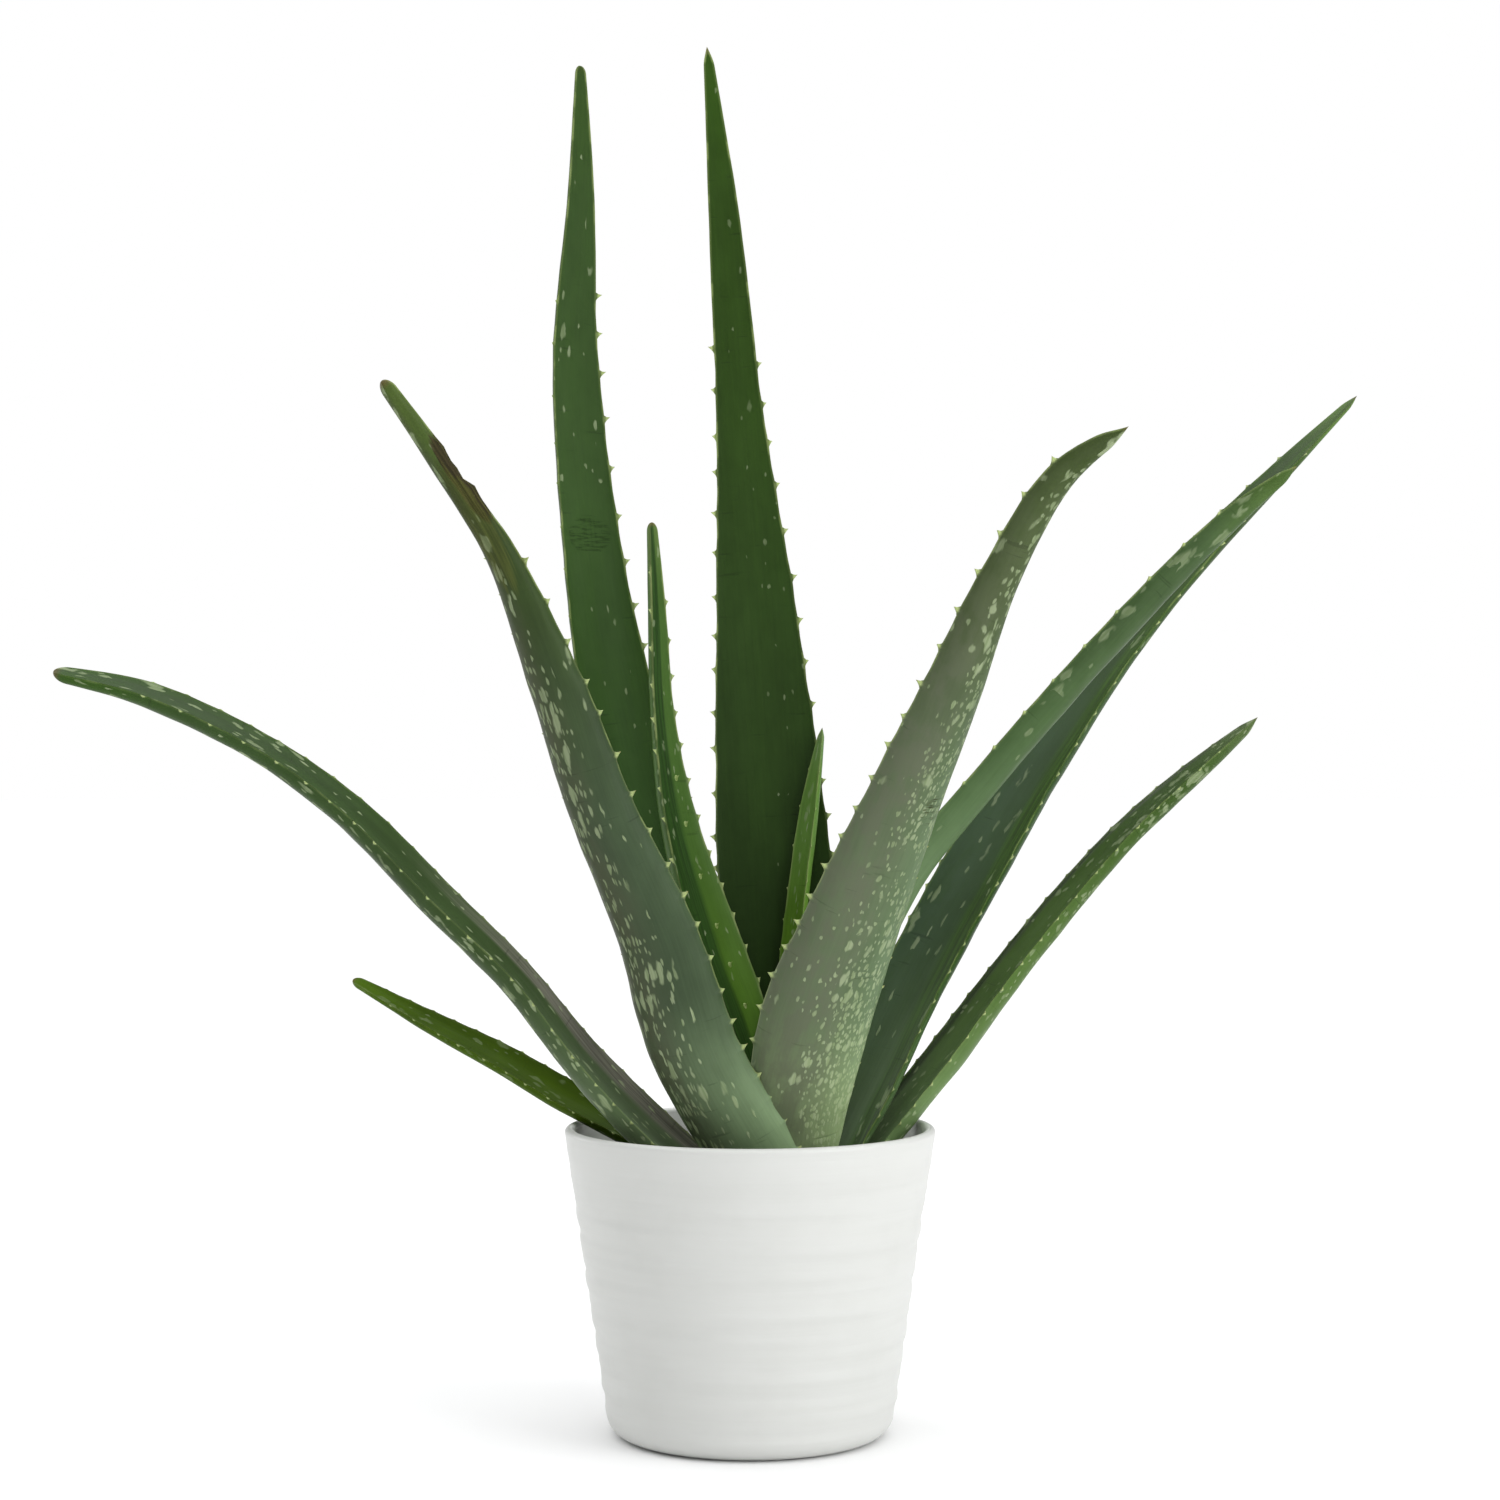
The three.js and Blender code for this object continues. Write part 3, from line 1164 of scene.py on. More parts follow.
    def _shrivelled(
        self, line: Line, sine: np.ndarray, cosine: np.ndarray, x: np.ndarray, y: np.ndarray
    ) -> tuple[np.ndarray, np.ndarray]:
        """Pulls the first margin in and folds it: quick waves under a bell curve up the leaf.

        Args:
            line: the middle line at each ring.
            sine: the sine of each angle round the section.
            cosine: its cosine.
            x: how far across each point is.
            y: how far out of the upper side it is.

        Returns:
            The new x and y.
        """
        off = (line.rows / line.length - self.shrivel) / 0.045
        near = np.exp(-(off**2))[:, None] * np.clip(cosine, 0.0, 1.0) ** 2
        rows = line.rows[:, None]
        pull = 0.7 + 0.9 * waves(rows / 0.022 + 0.12 * sine, self.seed + 70)
        fold = 0.9 * waves(rows / 0.017 + 0.3 * sine, self.seed + 80)
        return x - near * pull * MM, y + near * fold * MM

    def _seat(self, points: np.ndarray) -> np.ndarray:
        """The small shift that brings the tip onto the tip of the leaf's solid in the frame.

        Args:
            points: the blade's points.

        Returns:
            The shift, from the box faces on the tip's side.
        """
        low, high = (np.array(corner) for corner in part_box(self.name))
        tip, foot = points[-1].mean(axis=0), points[0].mean(axis=0)
        solid = np.where(tip > foot, high, low)
        own = np.where(tip > foot, points.max(axis=(0, 1)), points.min(axis=(0, 1)))
        shift = solid - own
        log.info("%s: seated by %s mm", self.name, np.round(shift / MM, 2).tolist())
        return shift

    @staticmethod
    def _girth(points: np.ndarray) -> np.ndarray:
        """Distance round each ring to each column, and the whole way round as one more column."""
        step = np.linalg.norm(np.roll(points, -1, axis=1) - points, axis=2)
        return np.concatenate([np.zeros((len(points), 1)), np.cumsum(step, axis=1)], axis=1)

    def _margin(self, points: np.ndarray) -> np.ndarray:
        """How far each point is from the nearer margin, which is the first column or the middle one.

        Args:
            points: the blade's points.

        Returns:
            The distance round the ring, in metres.
        """
        girth = self._girth(points)
        here, middle, whole = girth[:, :-1], girth[:, [points.shape[1] // 2]], girth[:, [-1]]
        return np.minimum(np.minimum(here, whole - here), np.abs(here - middle))

    def _toothed(
        self, body: np.ndarray, line: Line, turn: np.ndarray, places: list[np.ndarray]
    ) -> tuple[np.ndarray, np.ndarray]:
        """Draws the margins out into teeth, with a shallow bay between each and the next.

        A tooth's height falls off as a power of the distance from its point, and leans towards the tip. The
        pull falls off round the section as a bell about the margin. Teeth are smaller where the blade is
        narrow and near its foot. A bay's depth is the squared sine of the way from one tooth to the next.

        Args:
            body: the blade's points.
            line: the middle line at each ring.
            turn: the angles round the section.
            places: the teeth's places on the first and the second margin.

        Returns:
            The points with teeth, and how much of a tooth each is, from 0 to 1.
        """
        random = np.random.default_rng(self.seed + 9)
        teeth, rows = self.teeth, line.rows
        across, along = line.across[:, None, :], line.along[:, None, :]
        size = np.clip(line.width / (teeth.full_width * MM), 0.25, 1.0)
        size = size * (0.55 + 0.45 * smooth(rows, 0.0, 0.07))
        points, tooth = body.copy(), np.zeros(body.shape[:2])
        margins = ((0.0, 1.0, teeth.first), (math.pi, -1.0, teeth.second))
        for own, (middle, sign, share) in zip(places, margins):
            off = np.abs((turn - middle + math.pi) % FULL_TURN - math.pi)[None, :]
            gap = (rows[:, None] - own) / (teeth.half_length * MM)
            peak = np.clip(1.0 - np.abs(gap), 0.0, 1.0) ** 1.7 * random.uniform(*teeth.HEIGHTS, len(own))
            point = (peak.max(axis=1) * size * share)[:, None] * np.exp(-((off / teeth.grip) ** 2))
            count = np.interp(rows, own, np.arange(len(own), dtype=float))
            bay = (teeth.bay * MM * size * np.sin(math.pi * count) ** 2)[:, None]
            pull = point * teeth.height * MM - bay * np.exp(-((off / teeth.bay_grip) ** 2))
            lean = teeth.lean * teeth.height * MM * point
            points += sign * across * pull[..., None] + along * lean[..., None]
            tooth = np.maximum(tooth, point)
        return points, tooth

    def _maps(self, body: np.ndarray, line: Line, turn: np.ndarray) -> dict[str, np.ndarray]:
        """The leaf's two maps, with a value for both edges of each column.

        "skin" is metres up the leaf and metres round it from the middle of the side the point is on, so
        that a fleck keeps its size. "place" is the share of the length and the share across, from the
        second margin to the first.

        Args:
            body: the blade's points.
            line: the middle line at each ring.
            turn: the angles round the section.

        Returns:
            The maps by name.
        """
        girth, half = self._girth(body), len(turn) // 2
        upper_middle, lower_middle = girth[:, [half // 2]], girth[:, [half + half // 2]]
        is_upper = (np.arange(len(turn)) < half)[None, :]
        # The lower side's pattern is read 200 mm away from the upper side's.
        middle = np.where(is_upper, upper_middle, lower_middle - 0.2)
        off_middle = np.stack([girth[:, :-1] - middle, girth[:, 1:] - middle], axis=2)
        up = np.broadcast_to(line.rows[:, None, None], off_middle.shape)
        share = np.cos(np.append(turn, FULL_TURN)) * 0.5 + 0.5
        across = np.broadcast_to(np.stack([share[:-1], share[1:]], axis=1)[None], off_middle.shape)
        skin, place = np.stack([up, off_middle], axis=3), np.stack([up / line.length, across], axis=3)
        return {"skin": skin, "place": place}

    def _prickles(self, body: np.ndarray, line: Line, turn: np.ndarray) -> bpy.types.Object:
        """Small hollow-sided cones on the upper side, leaning towards the tip.

        A cone is a circle at each of its rings, with the radii falling off faster than the height that is
        left. Its foot is sunk in the blade.

        Args:
            body: the blade's points.
            line: the middle line at each ring.
            turn: the angles round the section.

        Returns:
            The prickles as one piece.
        """
        places = np.array(self.prickles)
        ring = np.searchsorted(line.rows, places[:, 0] * line.length)
        share = np.cos(turn[: len(turn) // 2])[None, :] * 0.5 + 0.5
        column = np.abs(share - places[:, [1]]).argmin(axis=1)
        root, along, upper = body[ring, column], line.along[ring], line.upper[ring]
        across = line.across[ring][:, None, None]
        up = np.array(self.PRICKLE_RISES) * self.PRICKLE_HEIGHT * MM
        radius = np.array(self.PRICKLE_RADII)[:, None] * MM
        way = even_angles(10)
        ring_x = (radius * np.cos(way))[None, ..., None] * across
        ring_y = (radius * np.sin(way) * 1.3)[None, ..., None] * along[:, None, None]
        rise = up[None, :, None, None] * (upper + 0.5 * along)[:, None, None]
        cones = root[:, None, None] + ring_x + ring_y + rise
        return clones(f"{self.name}_prickles", cones, PrickleSkin().material(self.name))


LEAVES = [
    Leaf(
        name="heart_leaf",
        depth=6,
        channel=0.8,
        face_foot=(-0.75, -0.6, 0.2),
        face_tip=(-0.7, -0.7, 0.2),
        stations=[
            (14, 2, 97, 12),
            (13, 6, 128, 12),
            (14, 9, 158, 10.5),
            (17, 12, 188, 9),
            (21, 16, 218, 7.5),
            (25.5, 20, 246, 1.6),
        ],
        skin=LeafSkin(
            foot=(0.02, 0.048, 0.0008),
            blade=(0.10, 0.215, 0.014),
            upper=(0.12, 0.24, 0.045),
            tip=(0.15, 0.26, 0.09),
            bloom=0.1,
            flecks_low=1.0,
            flecks_high=1.0,
            fleck_middle=2.6,
            fleck_strength=0.6,
            rim=0.6,
            foot_reach=0.5,
            seed=1.3,
        ),
        teeth=Teeth(height=0.8, half_length=1.0, near_foot=10.0, near_tip=16.0),
        seed=11,
    ),
    Leaf(
        name="inner_left_leaf",
        depth=9,
        channel=1.5,
        face_foot=(0.8, -0.55, 0.25),
        face_tip=(0.75, -0.65, 0.1),
        stations=[
            (12, 0, 90, 18),
            (2, 0, 130, 25),
            (-13, 2, 172, 26),
            (-25, 7, 212, 18),
            (-31, 13, 250, 11),
            (-33, 18, 286, 8),
            (-35, 22, 319, 4),
        ],
        skin=LeafSkin(
            foot=(0.011, 0.036, 0.0005),
            blade=(0.070, 0.158, 0.012),
            upper=(0.056, 0.126, 0.019),
            tip=(0.092, 0.162, 0.036),
            bloom=0.08,
            gloss=0.16,
            # Painted shade: the band darkens the far flap of the folded upper side, which faces away from the
            # light.
            band=(0.020, 0.058, 0.009),
            band_width=0.58,
            channel_shade=0.0,
            flecks_low=0.0,
            flecks_high=0.14,
            fleck_strength=0.55,
            foot_reach=0.28,
            upper_reach=0.58,
            seed=4.1,
        ),
        teeth=Teeth(height=2.3, half_length=1.6, near_foot=11.0, near_tip=15.0),
        prickles=((0.25, 0.36), (0.315, 0.35), (0.38, 0.34), (0.445, 0.33), (0.53, 0.34), (0.61, 0.36)),
        blunt=True,
        seed=12,
    ),
    Leaf(
        name="tall_back_leaf",
        depth=10,
        channel=2,
        face_foot=(0, -1, 0.3),
        face_tip=(0.15, -1, 0.1),
        stations=[
            (15, 4, 86, 24),
            (12, 14, 150, 40),
            (7, 21, 220, 39),
            (2, 28, 291, 28),
            (-4, 35, 363, 17),
            (-9.5, 42, 433, 11),
            (-15.5, 48, 494, 3),
        ],
        skin=LeafSkin(
            foot=(0.009, 0.028, 0.0008),
            blade=(0.021, 0.049, 0.007),
            upper=(0.022, 0.054, 0.005),
            tip=(0.029, 0.077, 0.005),
            bloom=0.03,
            flecks_low=0.0,
            flecks_high=0.025,
            fleck_side=-1.0,
            fleck_strength=0.35,
            fleck_size=0.0028,
            foot_reach=0.5,
            seed=2.7,
        ),
        teeth=Teeth(height=1.9, near_foot=12.0, near_tip=18.0, stop=0.74),
        seed=13,
    ),
    Leaf(
        name="tall_left_leaf",
        depth=9,
        channel=2,
        face_foot=(0.4, -0.85, 0.3),
        face_tip=(0.5, -0.85, 0),
        stations=[
            (9, 4, 86, 20),
            (-15, 16, 146, 31),
            (-36, 28, 209, 33),
            (-51.5, 40, 270, 28),
            (-60.5, 50, 329, 22),
            (-65, 60, 385, 18),
            (-63.5, 71, 442, 11),
            (-64, 80, 494, 4),
        ],
        skin=LeafSkin(
            foot=(0.022, 0.084, 0.005),
            blade=(0.028, 0.072, 0.009),
            upper=(0.028, 0.066, 0.010),
            tip=(0.028, 0.07, 0.006),
            bloom=0.06,
            flecks_low=0.0,
            flecks_high=0.06,
            fleck_side=0.8,
            fleck_strength=0.6,
            foot_reach=0.5,
            dry_tip=0.1,
            scars=(Scar(0.575, 0.5, 0.016, 0.4, (0.008, 0.018, 0.004), 0.5, Face.UPPER, True),),
            seed=3.9,
        ),
        teeth=Teeth(height=2.5, first=0.35, near_foot=13.0, near_tip=20.0, stop=0.8),
        blunt=True,
        seed=14,
    ),
    Leaf(
        name="middle_right_leaf",
        depth=8,
        channel=1.5,
        face_foot=(-0.5, 0.5, 0.6),
        face_tip=(-0.5, 0.5, 0.7),
        stations=[
            (19, 1, 90, 16),
            (30, 3, 140, 18),
            (53, 4, 190, 17),
            (82, 2, 227, 15),
            (111, -1, 261, 14),
            (143.5, -6, 296, 13),
            (167, -10, 319, 10),
            (188, -14, 335.5, 3),
        ],
        skin=LeafSkin(
            foot=(0.20, 0.30, 0.15),
            blade=(0.068, 0.128, 0.043),
            upper=(0.052, 0.098, 0.031),
            tip=(0.058, 0.112, 0.020),
            bloom=0.1,
            bloom_colour=(0.10, 0.13, 0.08),
            flecks_low=0.08,
            flecks_high=0.26,
            fleck_strength=0.5,
            fleck_big=0.5,
            fleck_fine=0.2,
            fleck_size=0.0042,
            fleck_stretch=2.4,
            foot_reach=0.6,
            seed=5.2,
        ),
        teeth=Teeth(height=1.4, near_foot=14.0, near_tip=20.0),
        seed=15,
    ),
    Leaf(
        name="front_right_leaf",
        depth=14,
        channel=4,
        face_foot=(-0.3, 0.75, 0.5),
        face_tip=(-0.5, 0.6, 0.6),
        stations=[
            (16, -4, 80, 24),
            (17, -19, 114, 36),
            (24, -33, 150, 42),
            (37, -48, 186, 37),
            (51, -63, 222, 29),
            (65.5, -77, 257, 23),
            (79.5, -90, 292, 16),
            (97, -102, 323, 12),
            (118, -112, 338.5, 4),
        ],
        skin=LeafSkin(
            foot=(0.31, 0.42, 0.20),
            blade=(0.105, 0.165, 0.075),
            upper=(0.050, 0.078, 0.022),
            tip=(0.030, 0.058, 0.004),
            bloom=0.75,
            bloom_colour=(0.118, 0.128, 0.086),
            bloom_side=-1.0,
            bloom_high=0.25,
            flecks_low=0.9,
            flecks_high=0.66,
            fleck_side=1.0,
            fleck_big=0.9,
            fleck_stretch=1.8,
            fleck_strength=0.72,
            seed=6.6,
            scars=(Scar(0.52, 0.72, 0.024, 0.17, (0.030, 0.036, 0.014), 0.85, Face.LOWER, True),),
        ),
        teeth=Teeth(height=2.7, near_foot=9.5, near_tip=15.0),
        seed=16,
    ),
    Leaf(
        name="long_right_leaf",
        depth=9,
        channel=3,
        face_foot=(-0.6, -0.6, 0.6),
        face_tip=(-0.5, -0.5, 0.7),
        stations=[
            (21, 4, 79, 20),
            (38, 16, 114, 30),
            (57, 27, 152, 31),
            (79.5, 38, 192, 32),
            (102.5, 50, 229, 28),
            (135, 64, 273, 20),
            (166, 78, 309, 16),
            (196, 92, 339, 12),
            (233, 110, 374, 3),
        ],
        skin=LeafSkin(
            foot=(0.11, 0.185, 0.075),
            blade=(0.038, 0.078, 0.025),
            upper=(0.036, 0.078, 0.012),
            tip=(0.08, 0.15, 0.030),
            bloom=0.45,
            bloom_colour=(0.052, 0.082, 0.054),
            bloom_side=1.0,
            bloom_high=0.2,
            band=(0.034, 0.082, 0.008),
            band_side=-1.0,
            band_width=0.36,
            channel_shade=0.25,
            flecks_low=0.28,
            flecks_high=0.28,
            fleck_stretch=3.6,
            fleck_fine=0.2,
            fleck_size=0.0046,
            fleck_strength=0.45,
            rim=0.5,
            seed=7.4,
        ),
        teeth=Teeth(height=1.4, near_foot=11.0, near_tip=17.0),
        seed=17,
    ),
    Leaf(
        name="front_left_leaf",
        depth=13,
        channel=4,
        face_foot=(0.4, 0.7, 0.5),
        face_tip=(0.5, 0.8, 0.3),
        stations=[
            (12, -5, 78, 24),
            (-1, -19, 103, 37),
            (-19, -31, 136, 36),
            (-32, -42, 178, 31),
            (-49, -54, 217.5, 26),
            (-62.5, -66, 257, 21),
            (-79.5, -80, 300, 12),
            (-100, -92, 332, 8),
            (-116, -100, 355, 5),
        ],
        skin=LeafSkin(
            foot=(0.25, 0.36, 0.19),
            blade=(0.052, 0.082, 0.040),
            upper=(0.032, 0.057, 0.012),
            tip=(0.075, 0.12, 0.022),
            bloom=0.8,
            bloom_colour=(0.070, 0.078, 0.044),
            bloom_side=-1.0,
            bloom_high=0.55,
            flecks_low=0.74,
            flecks_high=0.65,
            fleck_side=-1.0,
            fleck_fine=0.7,
            fleck_big=0.3,
            fleck_size=0.0034,
            fleck_stretch=3.3,
            fleck_strength=0.74,
            foot_reach=0.3,
            seed=8.8,
            scars=(
                Scar(0.875, 0.98, 0.055, 0.26, (0.024, 0.017, 0.008)),
                Scar(0.82, 0.62, 0.085, 0.42, (0.052, 0.058, 0.013), 0.5),
            ),
        ),
        teeth=Teeth(height=2.5, near_foot=10.0, near_tip=17.0, stop=0.8),
        blunt=True,
        shrivel=0.875,
        seed=18,
    ),
    Leaf(
        name="low_right_leaf",
        depth=9,
        channel=2,
        face_foot=(-0.7, -0.35, 0.65),
        face_tip=(-0.6, -0.3, 0.7),
        stations=[
            (23, 2, 74, 15),
            (45, 12, 101.5, 20),
            (67, 18, 128, 20),
            (89, 25, 156, 18),
            (111, 32, 182, 17),
            (135, 38, 208, 15),
            (159.5, 44, 229.5, 12),
            (185, 50, 250, 3),
        ],
        skin=LeafSkin(
            foot=(0.16, 0.25, 0.10),
            blade=(0.080, 0.152, 0.030),
            upper=(0.039, 0.086, 0.010),
            tip=(0.07, 0.115, 0.032),
            bloom=0.05,
            band=(0.066, 0.088, 0.050),
            band_width=0.22,
            channel_shade=0.12,
            flecks_low=0.55,
            flecks_high=0.8,
            fleck_upper=0.3,
            fleck_fine=0.5,
            fleck_big=0.5,
            fleck_size=0.0040,
            fleck_strength=0.62,
            fleck_stretch=1.9,
            rim=0.3,
            foot_reach=0.45,
            seed=9.7,
        ),
        teeth=Teeth(height=1.1, half_length=1.3, near_foot=9.0, near_tip=13.0),
        seed=19,
    ),
    Leaf(
        name="long_left_leaf",
        depth=11,
        channel=3,
        face_foot=(0.6, -0.3, 0.7),
        face_tip=(0.2, -0.4, 0.9),
        stations=[
            (6, -3, 72, 17),
            (-28, -12, 101.5, 26),
            (-55.5, -20, 130.5, 23),
            (-79, -28, 161, 19),
            (-105, -35, 187.5, 19),
            (-133.5, -42, 217, 17),
            (-163, -49, 239, 14),
            (-198, -55, 256, 12),
            (-229.5, -60, 263.5, 6),
        ],
        skin=LeafSkin(
            foot=(0.14, 0.20, 0.10),
            blade=(0.037, 0.072, 0.016),
            upper=(0.03, 0.066, 0.012),
            tip=(0.026, 0.070, 0.004),
            bloom=0.08,
            # The grey band is partly the wax's grey and partly a painted reflection of the bright surroundings,
            # on the far side of the upper face, seen at a grazing angle.
            band=(0.18, 0.172, 0.14),
            band_side=-1.0,
            band_width=0.36,
            band_reach=0.62,
            channel_shade=0.25,
            flecks_low=0.42,
            flecks_high=0.4,
            fleck_upper=0.3,
            fleck_fine=0.7,
            fleck_strength=0.75,
            fleck_size=0.0038,
            fleck_stretch=3.2,
            rim=0.35,
            foot_reach=0.45,
            seed=10.9,
        ),
        teeth=Teeth(height=0.8, half_length=1.3, near_foot=10.0, near_tip=13.0),
        blunt=True,
        seed=20,
    ),
    Leaf(
        name="short_left_leaf",
        depth=7,
        channel=1.5,
        face_foot=(0.4, -0.5, 0.8),
        face_tip=(0.3, -0.6, 0.8),
        stations=[
            (6, 4, 75, 15),
            (-33, 8, 99, 16),
            (-64, 13, 115, 15),
            (-88.5, 18, 128.5, 13),
            (-114, 23, 141, 9.5),
            (-142, 28, 155.5, 4),
        ],
        skin=LeafSkin(
            foot=(0.014, 0.036, 0.0004),
            blade=(0.043, 0.084, 0.0008),
            upper=(0.046, 0.093, 0.0009),
            tip=(0.068, 0.138, 0.003),
            bloom=0.0,
            band=(0.036, 0.052, 0.008),
            band_side=-1.0,
            band_width=0.12,
            channel_shade=0.3,
            flecks_low=0.45,
            flecks_high=0.45,
            fleck_upper=0.6,
            fleck_fine=0.6,
            fleck_strength=0.28,
            rim=0.25,
            gloss=0.04,
            foot_reach=0.5,
            seed=12.1,
        ),
        teeth=Teeth(height=0.6, half_length=1.1, near_foot=8.0, near_tip=10.0),
        blunt=True,
        seed=21,
    ),
]


# ---------------------------------------------------------------- pot


@dataclass(frozen=True)
class Ceramic:
    """An off-white satin glaze, a little mottled, with painted light on the inside of the pot."""

    body: Colour = (0.645, 0.652, 0.628)
    shadow: Colour = (0.605, 0.612, 0.585)
    # Painted light: the inside is given a lighter colour than the same glaze outside.
    inside: Colour = (0.88, 0.885, 0.865)

    def material(self) -> bpy.types.Material:
        """Builds the glaze for a pot that carries the mark "inside".

        Returns:
            The finished material.
        """
        shader = Shader("white_glaze")
        place = shader.place()
        x, y, z = shader.split(place)
        rings = shader.noise(shader.vector(x * 5, y * 5, z * 130), 1.0, 3.0, 0.6)
        mottle = shader.noise(place, 45.0, 3.0, 0.6)
        shaded = rings.ramp(0.35, 0.7) * 0.35 + mottle.ramp(0.45, 0.75) * 0.3
        colour = shader.mix(self.body, self.shadow, shaded)
        # Painted light on the inside of the pot, where the leaves and the soil shade it.
        colour = shader.mix(colour, self.inside, shader.attribute("inside"))
        height = rings * 0.0004 + mottle * 0.00012
        return shader.finish(colour, 0.4 + (mottle - 0.5) * 0.2, height, Specular_IOR_Level=0.5)


@dataclass
class Pot:
    """The thrown pot: a tapered wall with a round lip, a rounded foot and faint throwing rings.

    Attributes:
        foot_radius: the wall's outer radius where it would meet the table, on the drawing, in millimetres.
        rim_radius: its outer radius at the rim, on the drawing.
        foot_round: the radius of the rounding between wall and base.
        wall: the wall's thickness.
        floor: the floor's thickness.
        inside_round: the radius of the rounding between wall and floor.
        calm_share: how much fainter the throwing rings are near the lip.
        columns: how many points there are to a ring.
        glaze: its finish.
    """

    foot_radius: float = 49.3
    rim_radius: float = 65.0
    foot_round: float = 9.0
    wall: float = 3.4
    floor: float = 5.0
    inside_round: float = 8.0
    calm_share: float = 0.8
    columns: int = 144
    glaze: Ceramic = Ceramic()

    # How near the axis the profile starts and ends, and how many points its straight floor has.
    HUB: ClassVar[float] = 0.6
    FLOOR_POINTS: ClassVar[int] = 6

    def build(self) -> bpy.types.Object:
        """Turns the profile about the pot's axis and dresses it.

        Returns:
            The pot's piece.
        """
        low, high = (np.array(corner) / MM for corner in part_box("pot"))
        rim, height = (high[0] - low[0]) / 2, high[2]
        profile = self._profile(rim, height)
        turn = even_angles(self.columns)
        z, share = profile[:, [1]], profile[:, [2]]
        calm = 1.0 - self.calm_share * smooth(z, 0.72 * height, 0.9 * height)
        radius = profile[:, [0]] + self._rings(z, turn[None, :]) * share * calm
        points = turned(radius, z, turn) * MM
        past_lip = np.arange(len(profile)) > profile[:, 1].argmax()
        inside = past_lip[:, None] * np.ones(self.columns)
        made = Sheet(points, marks={"inside": inside}).object("thrown_pot", self.glaze.material())
        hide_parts("pot")
        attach(made, BODY)
        return made

    def _wall_radius(self, z: float | np.ndarray, rim: float, height: float) -> float | np.ndarray:
        """The wall's outer radius at a height: a straight taper.

        Args:
            z: the height.
            rim: the radius at the rim.
            height: the rim's height.

        Returns:
            The radius.
        """
        foot = rim * self.foot_radius / self.rim_radius
        return foot + (rim - foot) * z / height

    def _profile(self, rim: float, height: float) -> np.ndarray:
        """The pot's section, from under its middle, up the outside, over the lip and down the inside.

        Roundings are arcs: a centre plus the radius times the cosine and the sine of the turn.

        Args:
            rim: the radius at the rim.
            height: the rim's height.

        Returns:
            Rows of radius, height and share of the throwing rings.
        """
        lip, foot, inside = self.wall / 2, self.foot_round, self.inside_round
        foot_r = self._wall_radius(foot, rim, height) - foot
        lip_z = height - lip
        lip_r = self._wall_radius(lip_z, rim, height) - lip
        inner_z = self.floor + inside
        inner_r = self._wall_radius(inner_z, rim, height) - self.wall
        wall_z = np.linspace(foot, lip_z, 120)[1:-1]
        back_z = wall_z[::-1][:-6]
        back_z = back_z[back_z > inner_z]
        over = np.linspace(0.0, math.pi, 17)
        up = np.linspace(-math.pi / 2, 0.0, 10)
        down = up[::-1]
        back_r = np.interp(back_z, [inner_z, lip_z], [inner_r, lip_r - lip])
        floor_r = np.linspace(inner_r - inside, self.HUB, self.FLOOR_POINTS)[1:]
        parts = (
            (np.linspace(self.HUB, foot_r, self.FLOOR_POINTS, endpoint=False), 0.0, 0.0),
            (foot_r + foot * np.cos(up), foot + foot * np.sin(up), smooth(up, -1.2, 0.0)),
            (self._wall_radius(wall_z, rim, height), wall_z, 1.0),
            (lip_r + lip * np.cos(over), lip_z + lip * np.sin(over), 0.6),
            (back_r, back_z, 0.5),
            (inner_r - inside + inside * np.cos(down), inner_z + inside * np.sin(down), 0.3),
            (floor_r, self.floor, 0.0),
        )
        return np.concatenate([np.stack(np.broadcast_arrays(*part), axis=1) for part in parts])

    @staticmethod
    def _rings(z: np.ndarray, turn: np.ndarray) -> np.ndarray:
        """Throwing rings: sines up the wall, each climbing a little as it goes round.

        Args:
            z: the height in millimetres.
            turn: the angle round the pot.

        Returns:
            How far the wall stands out, in millimetres.
        """
        main = 0.19 * np.sin(FULL_TURN * z / 11.6 + turn + 0.5)
        second = 0.13 * np.sin(FULL_TURN * z / 7.3 - turn + 1.9 + 0.4 * np.sin(z / 9.0))
        fine = 0.05 * np.sin(FULL_TURN * z / 4.3 + 2.0 * turn + 0.7)
        drift = 0.16 * np.sin(z / 14.0 + 2.0 * turn) * np.sin(turn + 1.1)
        return main + second + fine + drift - 0.25


# ---------------------------------------------------------------- soil and stem


@dataclass(frozen=True)
class PottingMix:
    """Damp peat with fibres and paler crumbs."""

    dark: Colour = (0.014, 0.009, 0.006)
    light: Colour = (0.06, 0.038, 0.022)
    crumb: Colour = (0.11, 0.075, 0.045)

    def material(self) -> bpy.types.Material:
        """Builds the mix.

        Returns:
            The finished material.
        """
        shader = Shader("potting_mix")
        place = shader.place()
        clods = shader.noise(place, 160.0, 4.0, 0.65)
        crumbs, lot, _ = shader.cells(place, 620.0)
        colour = shader.mix(self.dark, self.light, clods.ramp(0.42, 0.66))
        colour = shader.mix(colour, self.crumb, crumbs.ramp(0.5, 0.2) * (lot < 0.18) * 0.7)
        height = clods * 0.0022 - crumbs * 0.0006
        return shader.finish(colour, 0.95, height, Specular_IOR_Level=0.25)


@dataclass(frozen=True)
class CrumbFinish:
    """A rough finish that changes a little from lump to lump."""

    colour: Colour

    def material(self, name: str) -> bpy.types.Material:
        """Builds the finish.

        Args:
            name: the piece's name.

        Returns:
            The finished material.
        """
        shader = Shader(f"{name}_finish")
        place = shader.place()
        patch = shader.noise(place, 210.0, 2.0)
        grain = shader.noise(place, 1400.0, 2.0)
        light = tuple(min(part, 0.9) for part in scaled(self.colour, 1.35))
        tint = shader.mix(scaled(self.colour, 0.45), light, patch.ramp(0.35, 0.65))
        return shader.finish(tint, 0.9, grain * 0.0003, Specular_IOR_Level=0.3)


